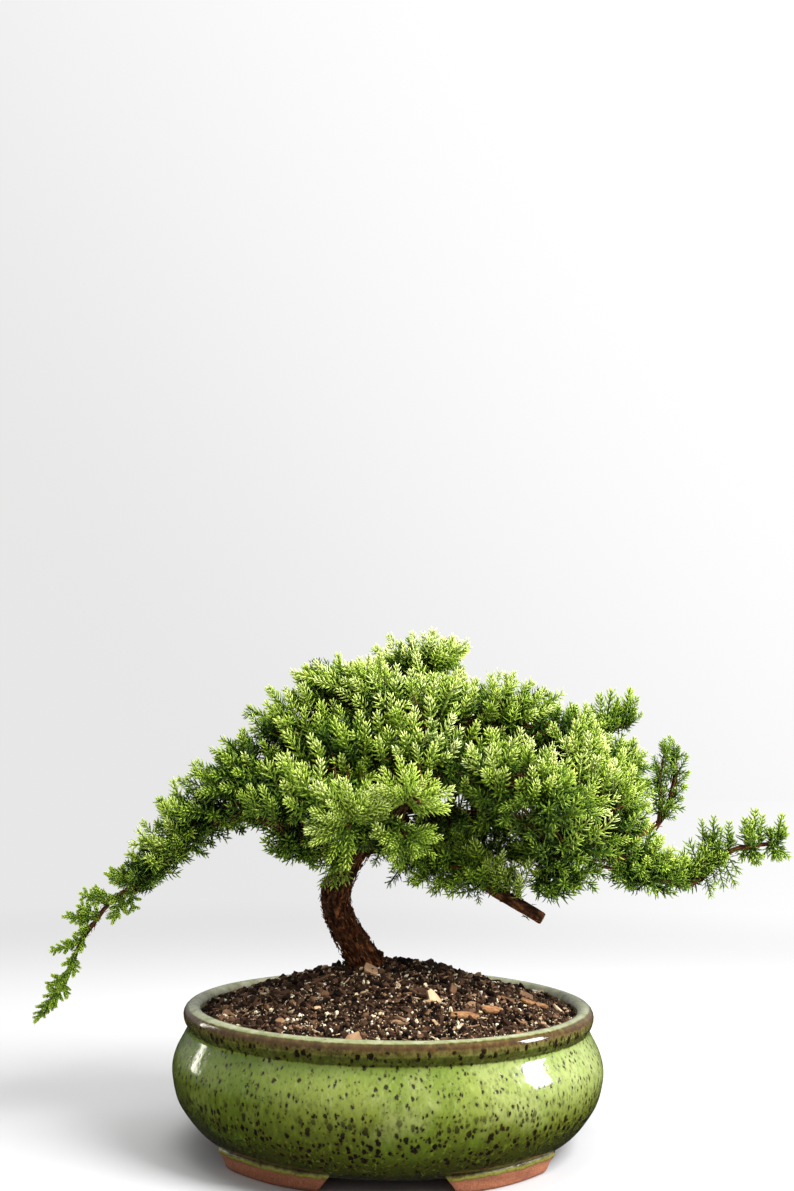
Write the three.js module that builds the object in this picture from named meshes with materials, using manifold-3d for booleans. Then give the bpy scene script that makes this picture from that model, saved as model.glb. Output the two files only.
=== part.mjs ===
// A juniper bonsai in a round glazed pot, standing on four feet.
// Millimetres, +Z up. X runs along the long reach of the two side branches, -Y is the front.
import * as THREE from 'three';
import { mergeVertices } from 'three/addons/utils/BufferGeometryUtils.js';
import Module from 'manifold-3d';

// ---------------------------------------------------------------- driving dimensions
const GAP = 0.4;              // clearance kept between neighbouring pieces
const POT_SEGMENTS = 40;
const BODY_RADIUS = 130;      // widest point of the pot's belly
const LIP_TOP = 79.8;         // height of the rolled lip
const LIP_INNER_RADIUS = 114.5;
const FLOOR_TOP = 13;         // inside floor of the pot
const UNDERSIDE = 5.5;        // underside of the pot's floor, raised on the feet
const DRAIN_RADIUS = 13;
const FOOT_OUTER_RADIUS = 110.5;
const FOOT_INNER_RADIUS = 97;
const FRONT_NOTCH_BOTTOM = 37, FRONT_NOTCH_TOP = 33;   // half widths of the front and back cut-outs
const SIDE_NOTCH_BOTTOM = 67, SIDE_NOTCH_TOP = 63;     // half widths of the left and right cut-outs
const SCREEN_SIZE = 56, SCREEN_BAR = 3.4, SCREEN_THICKNESS = 1.2;
const SOIL_RADIUS = 113;      // at the top edge, just inside the lip
const SOIL_EDGE = 74.5;
const SOIL_APEX = 103;

// Outer profile of the pot from the lip's crest down to the underside: [radius, height]
const POT_OUTER = [
  [119.5, LIP_TOP], [123, 78.4], [124.6, 75], [123.6, 69.5], [121.8, 65], [124.5, 60], [128.2, 53],
  [BODY_RADIUS, 45], [129.3, 37], [126.6, 28], [121.5, 20], [115.5, 13], [110, 9], [104, 6.5], [98, UNDERSIDE],
];
const POT_INNER = [
  [DRAIN_RADIUS, UNDERSIDE], [DRAIN_RADIUS, FLOOR_TOP], [92, FLOOR_TOP], [105, 17], [114, 26], [119.5, 38],
  [119.5, 50], [115.5, 62], [113.6, 70], [LIP_INNER_RADIUS, 77.6], [116.6, 79.4],
];
const FOOT_RING = [
  [FOOT_INNER_RADIUS, 0], [FOOT_OUTER_RADIUS, 0], [111.6, 6], [112.6, 9.2], [109.5, 11.5], [FOOT_INNER_RADIUS, 11.5],
];
const SOIL_PROFILE = [   // bottom centre to rim to apex
  [0, FLOOR_TOP + 2.2], [42, FLOOR_TOP + 2.2], [42, FLOOR_TOP + 0.5], [91, FLOOR_TOP + 0.5],
  [112.2, 26.6], [118.2, 38.6], [118.2, 49.4], [112.6, 69.6], [SOIL_RADIUS, SOIL_EDGE],
  [98, 78.5], [78, 84.6], [58, 90.8], [38, 96.2], [18, 100.6], [0, SOIL_APEX],
];

// Wood: [x, y, z, radius] along each stem.
const TRUNK = {
  bole: [[-5, -2, 62, 9], [-8, -2, 80, 12], [-11, -3, 92, 13], [-14.6, -4, 101.5, 10.8], [-20, -5, 111, 9.6], [-25.6, -7, 120, 9],
    [-30.8, -8, 130, 8.7], [-33.6, -8, 138.5, 8.6], [-33.6, -8, 146.5, 9.5], [-32, -8, 152, 8]],
  leader: [[-33.5, -8, 142, 7.5], [-31.5, -8, 151, 8.2], [-26.5, -8, 160.5, 7.2], [-20, -6.4, 169.5, 6.5], [-12, -2, 179.2, 6.3], [-3.4, 4, 189, 6],
    [3.6, 8.6, 198, 5.6]],
  rootRight: [[-12, -3, 97, 9], [4, -8, 93.5, 6.5], [19, -12, 89, 3.2], [30, -15, 84.5, 1.6]],
  rootLeft: [[-14, -4, 96, 8], [-27, -7, 91.5, 5], [-40, -9, 86, 2], [-46, -10, 83, 1.4]],
  rootFront: [[-12, -4, 95, 8], [-14, -18, 91.5, 5.5], [-12, -32, 86.5, 2.4], [-11, -39, 83.4, 1.4]],
  rootBack: [[-11, 0, 95, 8], [-6, 16, 91.5, 5.5], [2, 29, 87, 2.4], [6, 36, 84.5, 1.4]],
};
const BRANCHES = {
  leader_top: {
    crown: [[5.8, 10, 201.5, 5.4], [13.2, 16, 220.6, 4.8], [18.3, 22, 240.1, 4.1], [21, 30, 260.1, 3.3], [25.2, 42, 277.7, 2.5], [32, 51, 291, 1.8]],
    twig: [[20, 27, 250, 3.2], [40, 38, 252, 2.9], [62, 47, 251.5, 2.7], [88, 57, 250, 2.4], [116, 64, 246.7, 2.1], [137, 68, 248.5, 1.8], [150, 70.5, 254, 1.5]],
  },
  branch_left: {
    main: [[-29, -8, 157, 5.2], [-38, -5, 172, 5], [-57, -2, 182.4, 4.7], [-77.5, 0, 188.5, 4.4], [-100, 0, 190.5, 4], [-117, -2, 184.2, 3.6], [-132.7, -4, 170.6, 3.2],
      [-145.4, -6, 156.5, 2.5], [-158.9, -8, 147, 1.9], [-171.5, -10, 138.3, 1.6], [-181, -12, 125.5, 1.4], [-189, -14, 112.4, 1.3], [-194, -16, 97.5, 1.1], [-200, -17, 84, 0.9]],
  },
  branch_low_right: {
    main: [[-20, -5, 170.5, 4.4], [-5, -9, 173.6, 4.4], [8, -14, 172.7, 4.3], [27, -22, 167.2, 4.2], [53.9, -30, 154.9, 4], [66, -33, 147.4, 3.9], [78, -36, 141, 3.9], [90.6, -39, 133.8, 3.8]],
  },
  branch_right: {
    main: [[4, 9, 198.5, 4.6], [16, 8, 197.5, 4.6], [31, 6, 194.3, 4.4], [56.2, 2, 191, 4.1], [80.8, -4, 189, 3.8], [105, -10, 184.6, 3.5], [129.1, -14, 175.9, 3.1], [146.7, -18, 164, 2.8],
      [161.5, -20, 156.8, 2.5], [178.1, -22, 154, 2.2], [188.5, -22, 157.3, 2], [197, -22, 165, 1.8], [207.3, -22, 173.4, 1.6], [219.6, -22, 176.8, 1.4], [236, -22, 178.6, 1.1]],
  },
  branch_right_stub: {
    main: [[82, -5, 187, 3.4], [90.2, -12, 175.4, 3.2], [98.1, -18, 163.8, 3.1], [103.5, -20, 157, 3], [108.1, -21, 152.8, 3.1], [114.1, -22, 153.5, 3]],
  },
  branch_right_front: {
    main: [[60, 2, 191, 3.6], [70, -14, 199, 3.3], [80, -30, 206, 3], [90, -46, 210, 2.4], [94, -58, 212, 1.8]],
    high: [[70, -14, 199, 2.8], [86, -6, 213, 2.5], [100, 4, 227, 2.1], [110, 11, 240, 1.6]],
  },
  branch_right_sprig: {
    main: [[131, -14, 175.5, 2.6], [150, -4, 179.9, 2.3], [167.2, 4, 187.2, 2], [174.8, 8, 195.9, 1.8], [180, 10, 209.8, 1.5], [182.4, 11, 223.8, 1.2], [181.6, 12, 231, 1]],
  },
  branch_left_high: {
    main: [[2, 7.5, 196, 4.2], [-12, 2, 208, 4], [-28, -4, 220, 3.6], [-43, 6, 234, 3.1], [-50, 15, 250, 2.5], [-46, 23, 266, 1.8]],
    side: [[-28, -4, 220, 3], [-50, -2, 219, 2.8], [-74, 2, 222, 2.4], [-92, 2, 216, 1.8]],
  },
  branch_front: {
    main: [[-3, 3.5, 189.5, 3.8], [-2, -14, 193, 3.6], [0.4, -32, 196, 3.2], [4, -56, 200, 2.7], [9.2, -82, 205, 1.9]],
    left: [[0, -28, 195.4, 2.8], [-15, -46, 197, 2.5], [-33, -60, 199, 2.1]],
    low: [[-1, -20, 194, 2.6], [-6, -38, 188, 2.3], [-9, -56, 183, 1.7]],
    low_left: [[-4, -30, 190.4, 2.2], [-24, -36, 186, 2], [-44, -34, 184, 1.9], [-60, -33, 186, 1.6]],
  },
  branch_back: {
    main: [[14, 16, 219, 4.2], [21, 34, 222, 3.8], [36, 55, 226, 3.2], [62, 72, 229, 2.4]],
    left: [[20, 33, 222, 3], [8, 48, 219, 2.8], [-12, 61, 218, 2.2]],
    right: [[50, 65, 228, 2.4], [85, 72, 230, 2.4], [120, 75, 227, 2.2], [150, 75, 225, 1.7]],
    low: [[21, 34, 222, 2.8], [27, 46, 206, 2.6], [32, 55, 188, 2]],
  },
};

// Foliage: [name, centre, half axes, tilt in degrees about Y]
const PADS = [
  ['left_arm_low', [-147, -5, 164], [27, 24, 16], 40],
  ['left_arm_mid', [-122, 0, 191], [26, 30, 21], 46],
  ['left_arm_top', [-93, -3, 214], [28, 36, 27], 40],
  ['left_shoulder', [-68, 15, 240], [30, 38, 26], 40],
  ['crown_left', [-41, 25, 272], [28, 36, 24], 20],
  ['crown_back', [17, 58, 295], [36, 28, 19], 14],
  ['crown_mid', [-3, 8, 262], [31, 38, 27], 0],
  ['crown_right', [39, 18, 256], [30, 38, 25], 0],
  ['right_shoulder', [78, 18, 255], [29, 40, 26], -8],
  ['right_upper', [110, 12, 240], [26, 38, 27], -30],
  ['right_side', [129, -5, 206], [29, 40, 29], 0],
  ['right_low', [102, -32, 178], [27, 30, 22], 0],
  ['right_hip', [143, -12, 180], [20, 30, 21], 0],
  ['centre_high', [22, -22, 230], [31, 34, 22], 0],
  ['centre_left', [-29, -22, 231], [31, 34, 24], 0],
  ['left_front', [-65, -35, 201], [26, 32, 20], 0],
  ['left_front_low', [-57, -32, 177], [23, 24, 12], 0],
  ['front_left', [-33, -64, 199], [22, 26, 19], 0],
  ['front_bright', [12, -84, 209], [24, 26, 19], 0],
  ['front_low', [-8, -58, 182], [25, 26, 14], 0],
  ['trunk_tuft', [-29, -34, 163], [15, 14, 10], 0],
  ['centre_right', [66, -34, 217], [29, 34, 24], 0],
  ['right_front', [92, -56, 209], [24, 26, 23], 0],
  ['under_dark', [50, 6, 172], [32, 36, 17], 0],
  ['low_branch_spray', [48, -24, 155], [29, 22, 13], -20],
  ['low_branch_tuft', [100, -36, 155], [21, 14, 10], 8],
  ['right_arm', [159, -20, 164], [22, 26, 16], 0],
  ['right_arm_end', [194, -22, 169], [18, 22, 20], 0],
  ['right_tip_inner', [222, -22, 185], [9, 14, 19], 0],
  ['right_tip_outer', [238, -22, 182], [6, 10, 16], 0],
  ['right_sprig', [181, 10, 212], [11, 16, 26], -8],
  ['back_tuft', [155, 72, 263], [16, 16, 13], 0],
  ['back_right', [156, 74, 221], [27, 32, 27], -20],
  ['back_centre', [65, 72, 228], [43, 34, 32], 0],
  ['back_left', [-13, 62, 217], [40, 34, 32], 0],
  ['back_low', [33, 56, 184], [41, 30, 16], 0],
  ['cascade_upper', [-174, -10, 137], [21, 14, 12], 25],
  ['cascade_mid', [-188, -14, 110], [9, 10, 16], -20],
  ['cascade_tip', [-201, -17, 81], [20, 9, 6], 55],
];

// Large bark flakes lying on the soil: [radius from axis, angle, length, width, turn]
const CHIPS = [
  [81, -44, 13, 9, 52], [83, -59.6, 16, 7, 72], [89, -15, 16, 9, 20],
];

// ---------------------------------------------------------------- materials
const material = (color, roughness, metalness = 0) => new THREE.MeshStandardMaterial({ color, roughness, metalness });
const GLAZE = material(0x6f8f3a, 0.18);
const CLAY = material(0x9a5a40, 0.9);
const MESH_PLASTIC = material(0x202322, 0.6);
const SOIL = material(0x2c211c, 0.95);
const BARK = material(0x4f3226, 0.9);
const CHIP = material(0x9a6a45, 0.85);
const LEAF = material(0x5f9030, 0.7);
const LEAF_BRIGHT = material(0x9cc24a, 0.7);
const LEAF_DARK = material(0x2f5325, 0.75);

// ---------------------------------------------------------------- solids
const wasm = await Module();
wasm.setup();

function toSolid(geometry) {
  const bare = new THREE.BufferGeometry();
  bare.setAttribute('position', geometry.getAttribute('position').clone());
  if (geometry.index) bare.setIndex(geometry.index.clone());
  const merged = mergeVertices(bare, 1e-3);
  const index = merged.index.array;
  const tris = [];
  for (let i = 0; i < index.length; i += 3) {
    const [a, b, c] = [index[i], index[i + 1], index[i + 2]];
    if (a !== b && b !== c && c !== a) tris.push(a, b, c);
  }
  return new wasm.Manifold(new wasm.Mesh({
    numProp: 3, vertProperties: new Float32Array(merged.getAttribute('position').array), triVerts: new Uint32Array(tris),
  }));
}

// The largest connected body of a solid, as a geometry.
function toGeometry(solid) {
  const { vertProperties, triVerts, numProp } = solid.getMesh();
  const parent = Array.from({ length: vertProperties.length / numProp }, (_, i) => i);
  const root = (i) => { while (parent[i] !== i) { parent[i] = parent[parent[i]]; i = parent[i]; } return i; };
  for (let i = 0; i < triVerts.length; i += 3) {
    parent[root(triVerts[i])] = root(triVerts[i + 1]);
    parent[root(triVerts[i + 1])] = root(triVerts[i + 2]);
  }
  const count = new Map();
  for (let i = 0; i < triVerts.length; i += 3) {
    const r = root(triVerts[i]);
    count.set(r, (count.get(r) ?? 0) + 1);
  }
  const best = [...count.entries()].sort((a, b) => b[1] - a[1])[0][0];
  const positions = [];
  for (let i = 0; i < triVerts.length; i += 3) {
    if (root(triVerts[i]) !== best) continue;
    for (let k = 0; k < 3; k++) {
      const v = triVerts[i + k] * numProp;
      positions.push(vertProperties[v], vertProperties[v + 1], vertProperties[v + 2]);
    }
  }
  const geometry = new THREE.BufferGeometry();
  geometry.setAttribute('position', new THREE.Float32BufferAttribute(positions, 3));
  geometry.computeVertexNormals();
  return geometry;
}

// A lathe about +Z from a profile of [radius, height] that runs so that its faces point out.
function lathe(profile, segments, closed = false) {
  const points = profile.map(([r, z]) => new THREE.Vector2(r, z));
  if (closed) points.push(points[0].clone());
  const geometry = new THREE.LatheGeometry(points, segments);
  geometry.rotateX(Math.PI / 2);
  return geometry;
}

// A tube whose radius changes along its path: a unit section is swept, and each ring is then
// scaled about its own centre.
function taperedTube(stem, sides, spacing, grow = 0) {
  const points = stem.map(([x, y, z]) => new THREE.Vector3(x, y, z));
  const curve = new THREE.CatmullRomCurve3(points, false, 'centripetal');
  const reach = [0];
  for (let i = 1; i < points.length; i++) reach.push(reach[i - 1] + points[i].distanceTo(points[i - 1]));
  const steps = Math.max(3, Math.round(curve.getLength() / spacing));
  const section = new THREE.Shape();
  for (let i = 0; i < sides; i++) {
    const a = (i / sides) * 2 * Math.PI;
    if (i) section.lineTo(Math.cos(a), Math.sin(a)); else section.moveTo(1, 0);
  }
  const geometry = new THREE.ExtrudeGeometry(section, { steps, extrudePath: curve, bevelEnabled: false, curveSegments: 1 });
  const rings = curve.getSpacedPoints(steps);
  const radius = (t) => {
    const s = t * reach[reach.length - 1];
    let i = 1;
    while (i < reach.length - 1 && reach[i] < s) i++;
    const f = Math.min(1, Math.max(0, (s - reach[i - 1]) / (reach[i] - reach[i - 1])));
    return stem[i - 1][3] * (1 - f) + stem[i][3] * f + grow;
  };
  const position = geometry.getAttribute('position');
  const v = new THREE.Vector3();
  for (let i = 0; i < position.count; i++) {
    v.fromBufferAttribute(position, i);
    let near = 0;
    let least = Infinity;
    rings.forEach((ring, k) => { const d = ring.distanceToSquared(v); if (d < least) { least = d; near = k; } });
    v.sub(rings[near]).multiplyScalar(radius(near / steps)).add(rings[near]);
    position.setXYZ(i, v.x, v.y, v.z);
  }
  return geometry;
}

function unionOf(stems, sides, spacing, grow = 0) {
  return Object.values(stems).map((stem) => toSolid(taperedTube(stem, sides, spacing, grow))).reduce((a, b) => a.add(b));
}

// Smooth bumps on a direction, the same on every run.
function bump(d, seed) {
  return Math.sin(3.1 * d.x + 1.7 * seed) * Math.cos(2.7 * d.y - 0.9 * seed) + 0.7 * Math.sin(4.3 * d.z + 2.3 * seed + 1.9 * d.x)
    + 0.5 * Math.cos(5.9 * d.y + 4.1 * d.z + seed);
}

function foliage([, centre, half, tilt], seed, grow = 0) {
  
  const geometry = new THREE.IcosahedronGeometry(1, 1);
  const position = geometry.getAttribute('position');
  const d = new THREE.Vector3();
  const turn = new THREE.Matrix4().makeRotationY(-THREE.MathUtils.degToRad(tilt));
  for (let i = 0; i < position.count; i++) {
    d.fromBufferAttribute(position, i).normalize();
    const swell = 1 + 0.05 * bump(d, seed);
    d.set(d.x * (half[0] * swell + grow), d.y * (half[1] * swell + grow), d.z * (half[2] * swell + grow));
    d.applyMatrix4(turn);
    position.setXYZ(i, d.x + centre[0], d.y + centre[1], d.z + centre[2]);
  }
  return toSolid(geometry);
}

// ---------------------------------------------------------------- assembly
const group = new THREE.Group();
const cutters = [];   // slightly grown copies of what is already placed

function place(name, solid, mat) {
  const mesh = new THREE.Mesh(toGeometry(solid), mat.clone());
  mesh.name = name;
  group.add(mesh);
  return mesh;
}

// Takes off a piece everything that the neighbours already fill.
function clear(solid, box) {
  for (const other of cutters) {
    if (other.box.intersectsBox(box)) solid = solid.subtract(other.solid);
  }
  return solid;
}

function boxOf(solid) {
  const { vertProperties } = solid.getMesh();
  return new THREE.Box3().setFromArray(vertProperties);
}

function addCutter(solid) {
  cutters.push({ solid, box: boxOf(solid) });
}

// Pot: a turned wall and floor, and the four feet left standing where the foot ring is cut away.
const wall = toSolid(lathe([...POT_OUTER].reverse().concat([...POT_INNER].reverse()), POT_SEGMENTS, true));
const notch = (bottom, top, turn) => {
  const shape = new THREE.Shape([
    new THREE.Vector2(-bottom - 0.67, -1), new THREE.Vector2(bottom + 0.67, -1), new THREE.Vector2(top, UNDERSIDE), new THREE.Vector2(top - 4, 12.5), new THREE.Vector2(4 - top, 12.5), new THREE.Vector2(-top, UNDERSIDE),
  ]);
  const geometry = new THREE.ExtrudeGeometry(shape, { depth: 300, steps: 1, bevelEnabled: false });
  geometry.translate(0, 0, -150);
  geometry.rotateX(Math.PI / 2);
  geometry.rotateZ(turn);
  return toSolid(geometry);
};
place('pot', wall, GLAZE);
const footRing = toSolid(lathe(FOOT_RING, POT_SEGMENTS, true))
  .subtract(notch(FRONT_NOTCH_BOTTOM, FRONT_NOTCH_TOP, 0))
  .subtract(notch(SIDE_NOTCH_BOTTOM, SIDE_NOTCH_TOP, Math.PI / 2))
  .subtract(wall.translate([0, 0, -GAP]));
[['front_right', 1, -1], ['front_left', -1, -1], ['back_right', 1, 1], ['back_left', -1, 1]].forEach(([side, sx, sy]) => {
  const quarter = new THREE.BoxGeometry(140, 140, 40);
  quarter.translate(sx * 70.5, sy * 70.5, 0);
  place(`pot_foot_${side}`, footRing.intersect(toSolid(quarter)), CLAY);
});

// Drain screen: a square of coarse mesh lying over the drain hole.
{
  const pitch = (SCREEN_SIZE - SCREEN_BAR) / 3;
  const bars = [];
  for (let i = -1.5; i <= 1.5; i++) {
    for (const turn of [0, Math.PI / 2]) {
      const bar = new THREE.BoxGeometry(SCREEN_SIZE, SCREEN_BAR, SCREEN_THICKNESS);
      bar.translate(0, i * pitch, FLOOR_TOP + 0.35 + SCREEN_THICKNESS / 2);
      bar.rotateZ(turn);
      bars.push(toSolid(bar));
    }
  }
  place('drain_screen', bars.reduce((one, two) => one.add(two)), MESH_PLASTIC);
}

// Trunk with its root flare.
place('trunk', unionOf(TRUNK, 9, 10), BARK);
addCutter(unionOf(TRUNK, 9, 10, GAP));

// Soil: a mound that fills the pot and leaves room for the roots.
const mound = lathe(SOIL_PROFILE, 26);
{
  const position = mound.getAttribute('position');
  for (let i = 0; i < position.count; i++) {
    const [x, y, z] = [position.getX(i), position.getY(i), position.getZ(i)];
    const r = Math.hypot(x, y);
    if (z < SOIL_EDGE - 0.1 || r > SOIL_RADIUS - 2) continue;
    const wave = Math.sin(x * 0.11 + 1.3) * Math.cos(y * 0.13 - 0.4) + 0.6 * Math.sin(x * 0.23 - y * 0.19);
    position.setZ(i, z + 1.1 * wave * Math.min(1, (SOIL_RADIUS - r) / 25));
  }
}
const soil = toSolid(mound).subtract(cutters[0].solid);
place('potting_soil', soil, SOIL);

// Bark flakes on the soil.
const soilCutter = soil.translate([0, 0, GAP]);
CHIPS.forEach(([r, angle, length, width, turn], i) => {
  const a = THREE.MathUtils.degToRad(angle);
  const outline = [[-0.5, -0.32], [-0.1, -0.5], [0.42, -0.36], [0.5, 0.12], [0.2, 0.5], [-0.36, 0.4]]
    .map(([u, v], k) => new THREE.Vector2(u * length * (1 + 0.08 * Math.sin(i * 2.1 + k)), v * width * (1 + 0.1 * Math.cos(i + k * 1.7))));
  const geometry = new THREE.ExtrudeGeometry(new THREE.Shape(outline), { depth: 2.6, steps: 1, bevelEnabled: false });
  geometry.rotateZ(THREE.MathUtils.degToRad(turn));
  geometry.rotateY(0.27);                       // lies with the slope of the mound
  geometry.rotateZ(a);
  const slope = SOIL_PROFILE.filter(([q, z]) => z >= SOIL_EDGE);
  let k = 1;
  while (k < slope.length - 1 && slope[k][0] > r) k++;
  const f = (slope[k - 1][0] - r) / (slope[k - 1][0] - slope[k][0]);
  const z = slope[k - 1][1] * (1 - f) + slope[k][1] * f;
  geometry.translate(r * Math.cos(a), r * Math.sin(a), z - 0.2);
  place(`bark_chip_${i + 1}`, toSolid(geometry).subtract(soilCutter), CHIP);
});

// Branches.
for (const [name, stems] of Object.entries(BRANCHES)) {
  const solid = unionOf(stems, 6, 12);
  place(name, clear(solid, boxOf(solid)), BARK);
  addCutter(unionOf(stems, 6, 12, GAP));
}

// Foliage: each pad fills what its neighbours leave free.
const shade = { front_bright: LEAF_BRIGHT, front_low: LEAF_BRIGHT, under_dark: LEAF_DARK, back_low: LEAF_DARK, low_branch_spray: LEAF_DARK };
PADS.forEach((pad, i) => {
  const solid = foliage(pad, i + 1);
  place(`foliage_${pad[0]}`, clear(solid, boxOf(solid)), shade[pad[0]] ?? LEAF);
  addCutter(foliage(pad, i + 1, GAP));
});

// The origin lies under the middle of the whole object, on the plane that the feet stand on.
const whole = new THREE.Box3().setFromObject(group);
group.position.set(-(whole.min.x + whole.max.x) / 2, -(whole.min.y + whole.max.y) / 2, -whole.min.z);
group.updateMatrixWorld(true);

export default group;
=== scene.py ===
"""Looks of a juniper bonsai in a round glazed pot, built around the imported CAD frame.

Everything is modelled in millimetres about the pot's axis (X right, Y away from the viewer, Z up from the bottom of the
feet) and converted to metres in the row frame when a mesh is made.
"""
import math
import bpy
import numpy as np
from mathutils import Matrix, Vector


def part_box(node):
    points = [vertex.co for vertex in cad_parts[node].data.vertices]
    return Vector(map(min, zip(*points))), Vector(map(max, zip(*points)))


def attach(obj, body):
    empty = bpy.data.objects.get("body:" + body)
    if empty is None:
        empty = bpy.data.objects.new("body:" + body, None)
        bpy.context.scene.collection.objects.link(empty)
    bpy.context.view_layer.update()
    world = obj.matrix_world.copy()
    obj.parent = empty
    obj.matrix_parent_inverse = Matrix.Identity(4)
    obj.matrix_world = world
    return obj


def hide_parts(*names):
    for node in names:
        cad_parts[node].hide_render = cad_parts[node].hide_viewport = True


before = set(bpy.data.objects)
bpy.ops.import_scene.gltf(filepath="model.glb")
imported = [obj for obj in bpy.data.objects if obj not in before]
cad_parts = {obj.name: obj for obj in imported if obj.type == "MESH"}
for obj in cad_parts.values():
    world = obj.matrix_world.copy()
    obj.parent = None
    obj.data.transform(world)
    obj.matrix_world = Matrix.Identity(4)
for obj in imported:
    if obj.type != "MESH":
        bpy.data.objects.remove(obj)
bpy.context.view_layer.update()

_lo, _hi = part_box("pot")
AXIS = np.array([(_lo.x + _hi.x) / 2, (_lo.y + _hi.y) / 2, 0.0])   # the pot's axis in the row frame, metres
SCENE = bpy.context.scene

# ------------------------------------------------------------------ dimensions shared with the CAD source, mm
POT_OUTER = [(119.5, 79.8), (123, 78.4), (124.6, 75), (123.9, 70.8), (121.9, 67), (124.2, 61.4), (128.1, 53.5), (130, 45),
             (129.3, 37), (126.6, 28), (121.5, 20), (115.5, 13), (110, 9), (104, 6.5), (98, 5.5)]
POT_INNER = [(13, 5.5), (13, 13), (92, 13), (105, 17), (114, 26), (119.5, 38), (119.5, 50), (115.5, 62), (113.6, 70),
             (114.5, 77.6), (116.6, 79.4)]
SOIL_PROFILE = [(0, 15.2), (42, 15.2), (42, 13.5), (91, 13.5), (112.2, 26.6), (118.2, 38.6), (118.2, 49.4), (112.6, 69.6),
                (113, 74.5), (98, 78.5), (78, 84.6), (58, 90.8), (38, 96.2), (18, 100.6), (0, 103)]
TRUNK = {
    "bole": [(-5, -2, 62, 9), (-8, -2, 80, 12), (-11, -3, 92, 13), (-14.6, -4, 101.5, 10.8), (-20, -5, 111, 9.6),
             (-25.6, -7, 120, 9), (-30.8, -8, 130, 8.7), (-33.6, -8, 138.5, 8.6), (-33.6, -8, 146.5, 9.5), (-32, -8, 152, 8)],
    "leader": [(-33.5, -8, 142, 7.5), (-31.5, -8, 151, 8.2), (-26.5, -8, 160.5, 7.2), (-20, -6.4, 169.5, 6.5),
               (-12, -2, 179.2, 6.3), (-3.4, 4, 189, 6), (3.6, 8.6, 198, 5.6)],
    "rootRight": [(-12, -3, 97, 9), (4, -8, 93.5, 6.5), (19, -12, 89, 3.2), (30, -15, 84.5, 1.6)],
    "rootLeft": [(-14, -4, 96, 8), (-27, -7, 91.5, 5), (-40, -9, 86, 2), (-46, -10, 83, 1.4)],
    "rootFront": [(-12, -4, 95, 8), (-14, -18, 91.5, 5.5), (-12, -32, 86.5, 2.4), (-11, -39, 83.4, 1.4)],
    "rootBack": [(-11, 0, 95, 8), (-6, 16, 91.5, 5.5), (2, 29, 87, 2.4), (6, 36, 84.5, 1.4)],
}
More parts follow.
